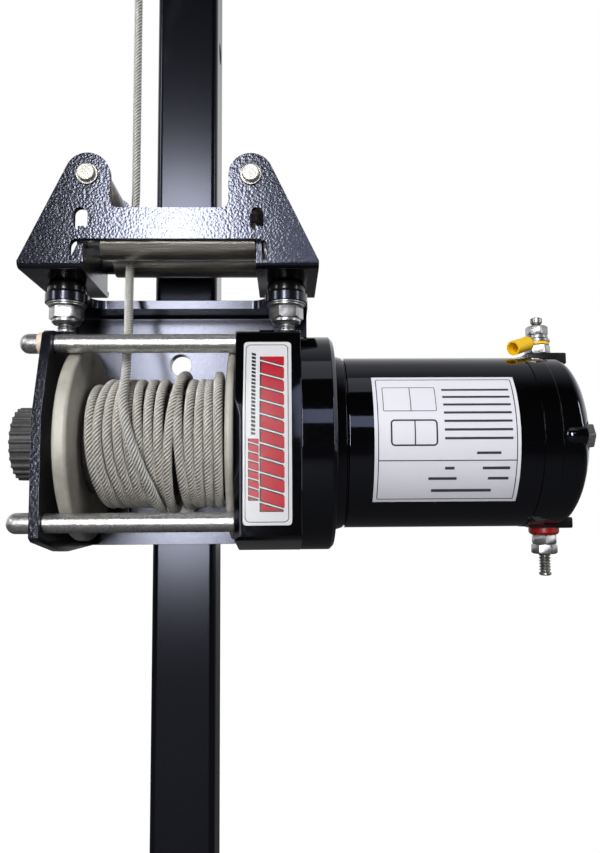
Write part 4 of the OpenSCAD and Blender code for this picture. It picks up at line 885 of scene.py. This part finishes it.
mode("OBJECT")
plate_map(decal, lambda p: (p.x, p.y))
decal.rotation_euler = (math.pi / 2, 0, 0)
decal.location = ((decal_low[0] + decal_high[0]) / 2, decal_low[1] + film_t / 2, decal_low[2])
bpy.ops.object.transform_apply(location=True, rotation=True, scale=True)
# above the bend the film lies on the housing's brow, which leans back
fold_z = decal_low[2] + decal_bend
brow = math.atan((decal_high[1] - decal_low[1] - film_t * 1.5) / (decal_high[2] - fold_z))
for corner in decal.data.vertices:
    if corner.co.z > fold_z + 1e-6:
        above = corner.co.z - fold_z
        corner.co.z = fold_z + above * math.cos(brow)
        corner.co.y += above * math.sin(brow)
modified(decal, "SOLIDIFY", thickness=film_t, offset=-1)
settled(decal, decal_film, "housing_decal", smooth=20)

# Gears: case-hardened steel, cut and left bright, in two planetary stages that turn the
# drum. Their finish is all they need: the teeth are as the CAD cuts them.
planets = [f"planet_{stage}{k}" for stage in "ab" for k in (1, 2, 3)]
for name in ("ring_gear", "carrier_second", "carrier_first", *planets):
    finished(nodes[name], gear_steel)

# Motor: a painted steel tube between a cast flange and a rounded end cap, in the same
# gloss black. Inside are magnets, armature, bearings and brushes; a printed film is
# stuck to the tube's front.
softened("motor_flange", 0.001, gloss_paint, segments=3, angle=25)
softened("motor_tube", 0.0004, gloss_paint)
softened("end_cap", 0.0006, gloss_paint, angle=40)
softened("through_bolts", 0.0005, bar_zinc)
boss_x, boss_y, boss_oval = 191.9, 37.65, 1.55  # where the bolts leave the cap, and how oval
boss_outline = [(0, 0), (0, 3), (1.5, 4.6), (3, 5.2), (5, 5.5), (11, 5.5), (11.5, 5), (11.5, 0)]
for place, y in (("front", -boss_y), ("rear", boss_y)):
    boss = stood(turned("bolt_boss_" + place, boss_outline), spot(boss_x, y, 0), inwards)
    middle = Matrix.Translation(spot(boss_x, y, 0))
    boss.data.transform(middle @ Matrix.Diagonal((1, boss_oval, 1, 1)) @ middle.inverted())
    settled(boss, gloss_paint, "end_cap")
armature_copper = surface("armature_copper", (0.55, 0.24, 0.11), (0.3, 0.28, 0.27), 0.3, 0.45, scale=90,
                          stretch=(8, 1, 1), Metallic=0.9)
ferrite = surface("ferrite_magnet", (0.045, 0.045, 0.048), (0.06, 0.06, 0.062), 0.5, 0.6)
brush_board = surface("brush_board", (0.16, 0.09, 0.04), (0.11, 0.06, 0.03), 0.4, 0.5, scale=150)
for name, finish in (("armature", armature_copper), ("magnets", ferrite), ("bearings", gear_steel),
                     ("brush_gear", brush_board)):
    finished(nodes[name], finish)

# The label's print: frames in the places of its drawings and rules in the places of its words
grey_ink = (0.035, 0.035, 0.045)
rule = {"Radius": 0.0001}
label_film = surface("label_film", (0.68, 0.68, 0.74), (0.665, 0.665, 0.725), 0.30, 0.31, scale=40, uv=True)
printed(label_film, (
    ("Frame", black_ink, (1.8, 1.8, 67.1, 63.8), {"Radius": 0.0008, "Line": 0.00045}),
    ("Fill", black_ink, (1.8, 22.0, 67.1, 22.5), rule),
    ("Frame", black_ink, (4.6, 45.9, 29.6, 58.7), {"Radius": 0.0004, "Line": 0.00035}),
    ("Fill", black_ink, (17.4, 45.9, 17.8, 58.7), rule),
    ("Frame", black_ink, (8.0, 29.5, 29.4, 41.3), {"Radius": 0.0016, "Line": 0.0008}),
    ("Fill", black_ink, (18.8, 29.5, 19.4, 41.3), rule),
    ("Fill", grey_ink, (33.0, 30.6, 65.2, 58.2), {**rule, "Pitch": 0.0041, "Share": 0.28}),
    ("Fill", grey_ink, (48.0, 25.2, 59.5, 26.4), rule),
    ("Fill", grey_ink, (33.2, 17.8, 37.7, 19.2), rule),
    ("Fill", grey_ink, (51.0, 17.8, 64.0, 19.2), rule),
    ("Fill", grey_ink, (25.6, 12.6, 39.0, 14.0), rule),
    ("Fill", grey_ink, (53.8, 12.6, 63.6, 14.0), rule),
    ("Fill", grey_ink, (27.4, 6.0, 56.0, 7.6), rule),
))
label_low, label_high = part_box("motor_label")
tube_r, top_angle, low_angle = 44.25, math.radians(41), math.radians(-44)
low_edge = (label_low[0], -tube_r * math.cos(low_angle) * MM, tube_r * math.sin(low_angle) * MM)
label = started("motor_label_print", bpy.ops.mesh.primitive_plane_add, size=1)
mode("EDIT")
bpy.ops.mesh.select_all(action="SELECT")
bpy.ops.mesh.merge(type="CENTER")
bpy.ops.transform.translate(value=low_edge)
bpy.ops.mesh.extrude_vertices_move(TRANSFORM_OT_translate={"value": (label_high[0] - label_low[0], 0, 0)})
bpy.ops.mesh.select_all(action="SELECT")
bpy.ops.mesh.spin(steps=40, angle=top_angle - low_angle, center=(0, 0, 0), axis=(1, 0, 0))
mode("OBJECT")
plate_map(label, lambda p: (p.x - label_low[0], (math.atan2(p.z, -p.y) - low_angle) * tube_r * MM))
label.location = spot(0, 0, 0)
bpy.ops.object.transform_apply(location=True, rotation=True, scale=True)
modified(label, "SOLIDIFY", thickness=film_t, offset=1)
settled(label, label_film, "motor_label", smooth=20)

# Terminals: zinc-plated studs with nuts and washers, on black moulded blocks; the lower
# one has a red insulating ring, and a yellow crimp terminal sits on the upper one.
terminal_x, cap_r = 196.1, 44.5
block_l, block_w, block_shift, block_top, block_low = 21, 14, 2.5, cap_r + 2, -cap_r - 0.6
block_plastic = surface("block_plastic", (0.004, 0.004, 0.0045), (0.007, 0.007, 0.0075), 0.3, 0.4)
ring_resin = surface("ring_resin", (0.36, 0.012, 0.010), (0.27, 0.008, 0.007), 0.3, 0.42, scale=260)
stud_steel = surface("stud_steel", (0.52, 0.51, 0.49), (0.30, 0.29, 0.27), 0.3, 0.44, Metallic=1.0)
sleeve_vinyl = surface("sleeve_vinyl", (0.95, 0.58, 0.004), (0.90, 0.53, 0.003), 0.34, 0.42, scale=260)


def terminal_block(name, low_z, high_z):
    """A flat moulded block with rounded edges."""
    block = started(name, bpy.ops.mesh.primitive_cube_add, size=1,
                    location=spot(terminal_x + block_shift, 0, (low_z + high_z) / 2))
    mode("EDIT")
    bpy.ops.transform.resize(value=(block_l * MM, block_w * MM, (high_z - low_z) * MM))
    bpy.ops.mesh.bevel(offset=0.0008, segments=2, affect="EDGES")
    mode("OBJECT")
    bpy.ops.object.transform_apply(location=True, rotation=True, scale=True)
    settled(block, block_plastic, "terminal_insulator")


terminal_block("upper_terminal_block", cap_r - 4, block_top)
terminal_block("lower_terminal_block", block_low, -cap_r + 5)
ring_top, ring_t, ring_r, stud_hole = -cap_r - 0.4, 3.6, 7.7, 3.1
ring_outline = [(0, stud_hole), (0, ring_r), (2.4, ring_r), (ring_t, ring_r - 1), (ring_t, stud_hole),
                (0, stud_hole)]
red_ring = stood(turned("lower_terminal_ring", ring_outline), spot(terminal_x, 0, ring_top), down)
settled(red_ring, ring_resin, "terminal_insulator")
big_nut, small_nut, nut_t, lower_seat = 11.5, 10, 5, -cap_r - 4
flat_z, spring_z, top_z = block_top + 6.4, block_top + 8, block_top + 10.2
nut_stacks = joined("terminal_nut_stacks", [
    stood(hex_nut("upper_nut", big_nut, nut_t), spot(terminal_x, 0, block_top), upward, 0.3),
    stood(turned("flat_washer", washer(1.6, 6.6, 3)), spot(terminal_x, 0, flat_z), upward),
    stood(turned("spring_washer", washer(2.2, 5.8, 3, 0.5)), spot(terminal_x, 0, spring_z), upward),
    stood(hex_nut("top_nut", small_nut, nut_t), spot(terminal_x, 0, top_z), upward, 0.1),
    stood(hex_nut("lower_nut", big_nut, nut_t), spot(terminal_x, 0, lower_seat), down, 0.2),
    stood(hex_nut("lock_nut", big_nut, nut_t), spot(terminal_x, 0, lower_seat - nut_t), down, 0.75),
])
settled(nut_stacks, zinc, "terminal_nuts")
stud_start, terminal_r, terminal_pitch, upper_l, lower_l = 38.2, 3.1, 1.5, 28.2, 31.5
studs = joined("terminal_threads", [
    stood(turned("upper_stud", thread(0, upper_l, terminal_r, terminal_pitch), 28),
          spot(terminal_x, 0, stud_start), upward),
    stood(turned("lower_stud", thread(0, lower_l, terminal_r, terminal_pitch), 28),
          spot(terminal_x, 0, -stud_start), down),
])
settled(studs, stud_steel, "terminal_studs")
softened("crimp_terminal", 0.0003, sleeve_vinyl)

# Hook: a forged and plated clevis hook with a sprung latch, on the rope's pressed eye. It
# hangs above the view, held by the taut rope.
hook_zinc = surface("hook_zinc", (0.50, 0.47, 0.36), (0.42, 0.38, 0.28), 0.30, 0.42, scale=120,
                    bump=0.00006, Metallic=0.85)
eye_steel = surface("eye_steel", (0.52, 0.51, 0.49), (0.36, 0.35, 0.33), 0.3, 0.45, scale=300,
                    bump=0.00004, Metallic=0.9)
for name, finish in (("rope_eye", eye_steel), ("hook", hook_zinc), ("hook_latch", zinc)):
    finished(nodes[name], finish)
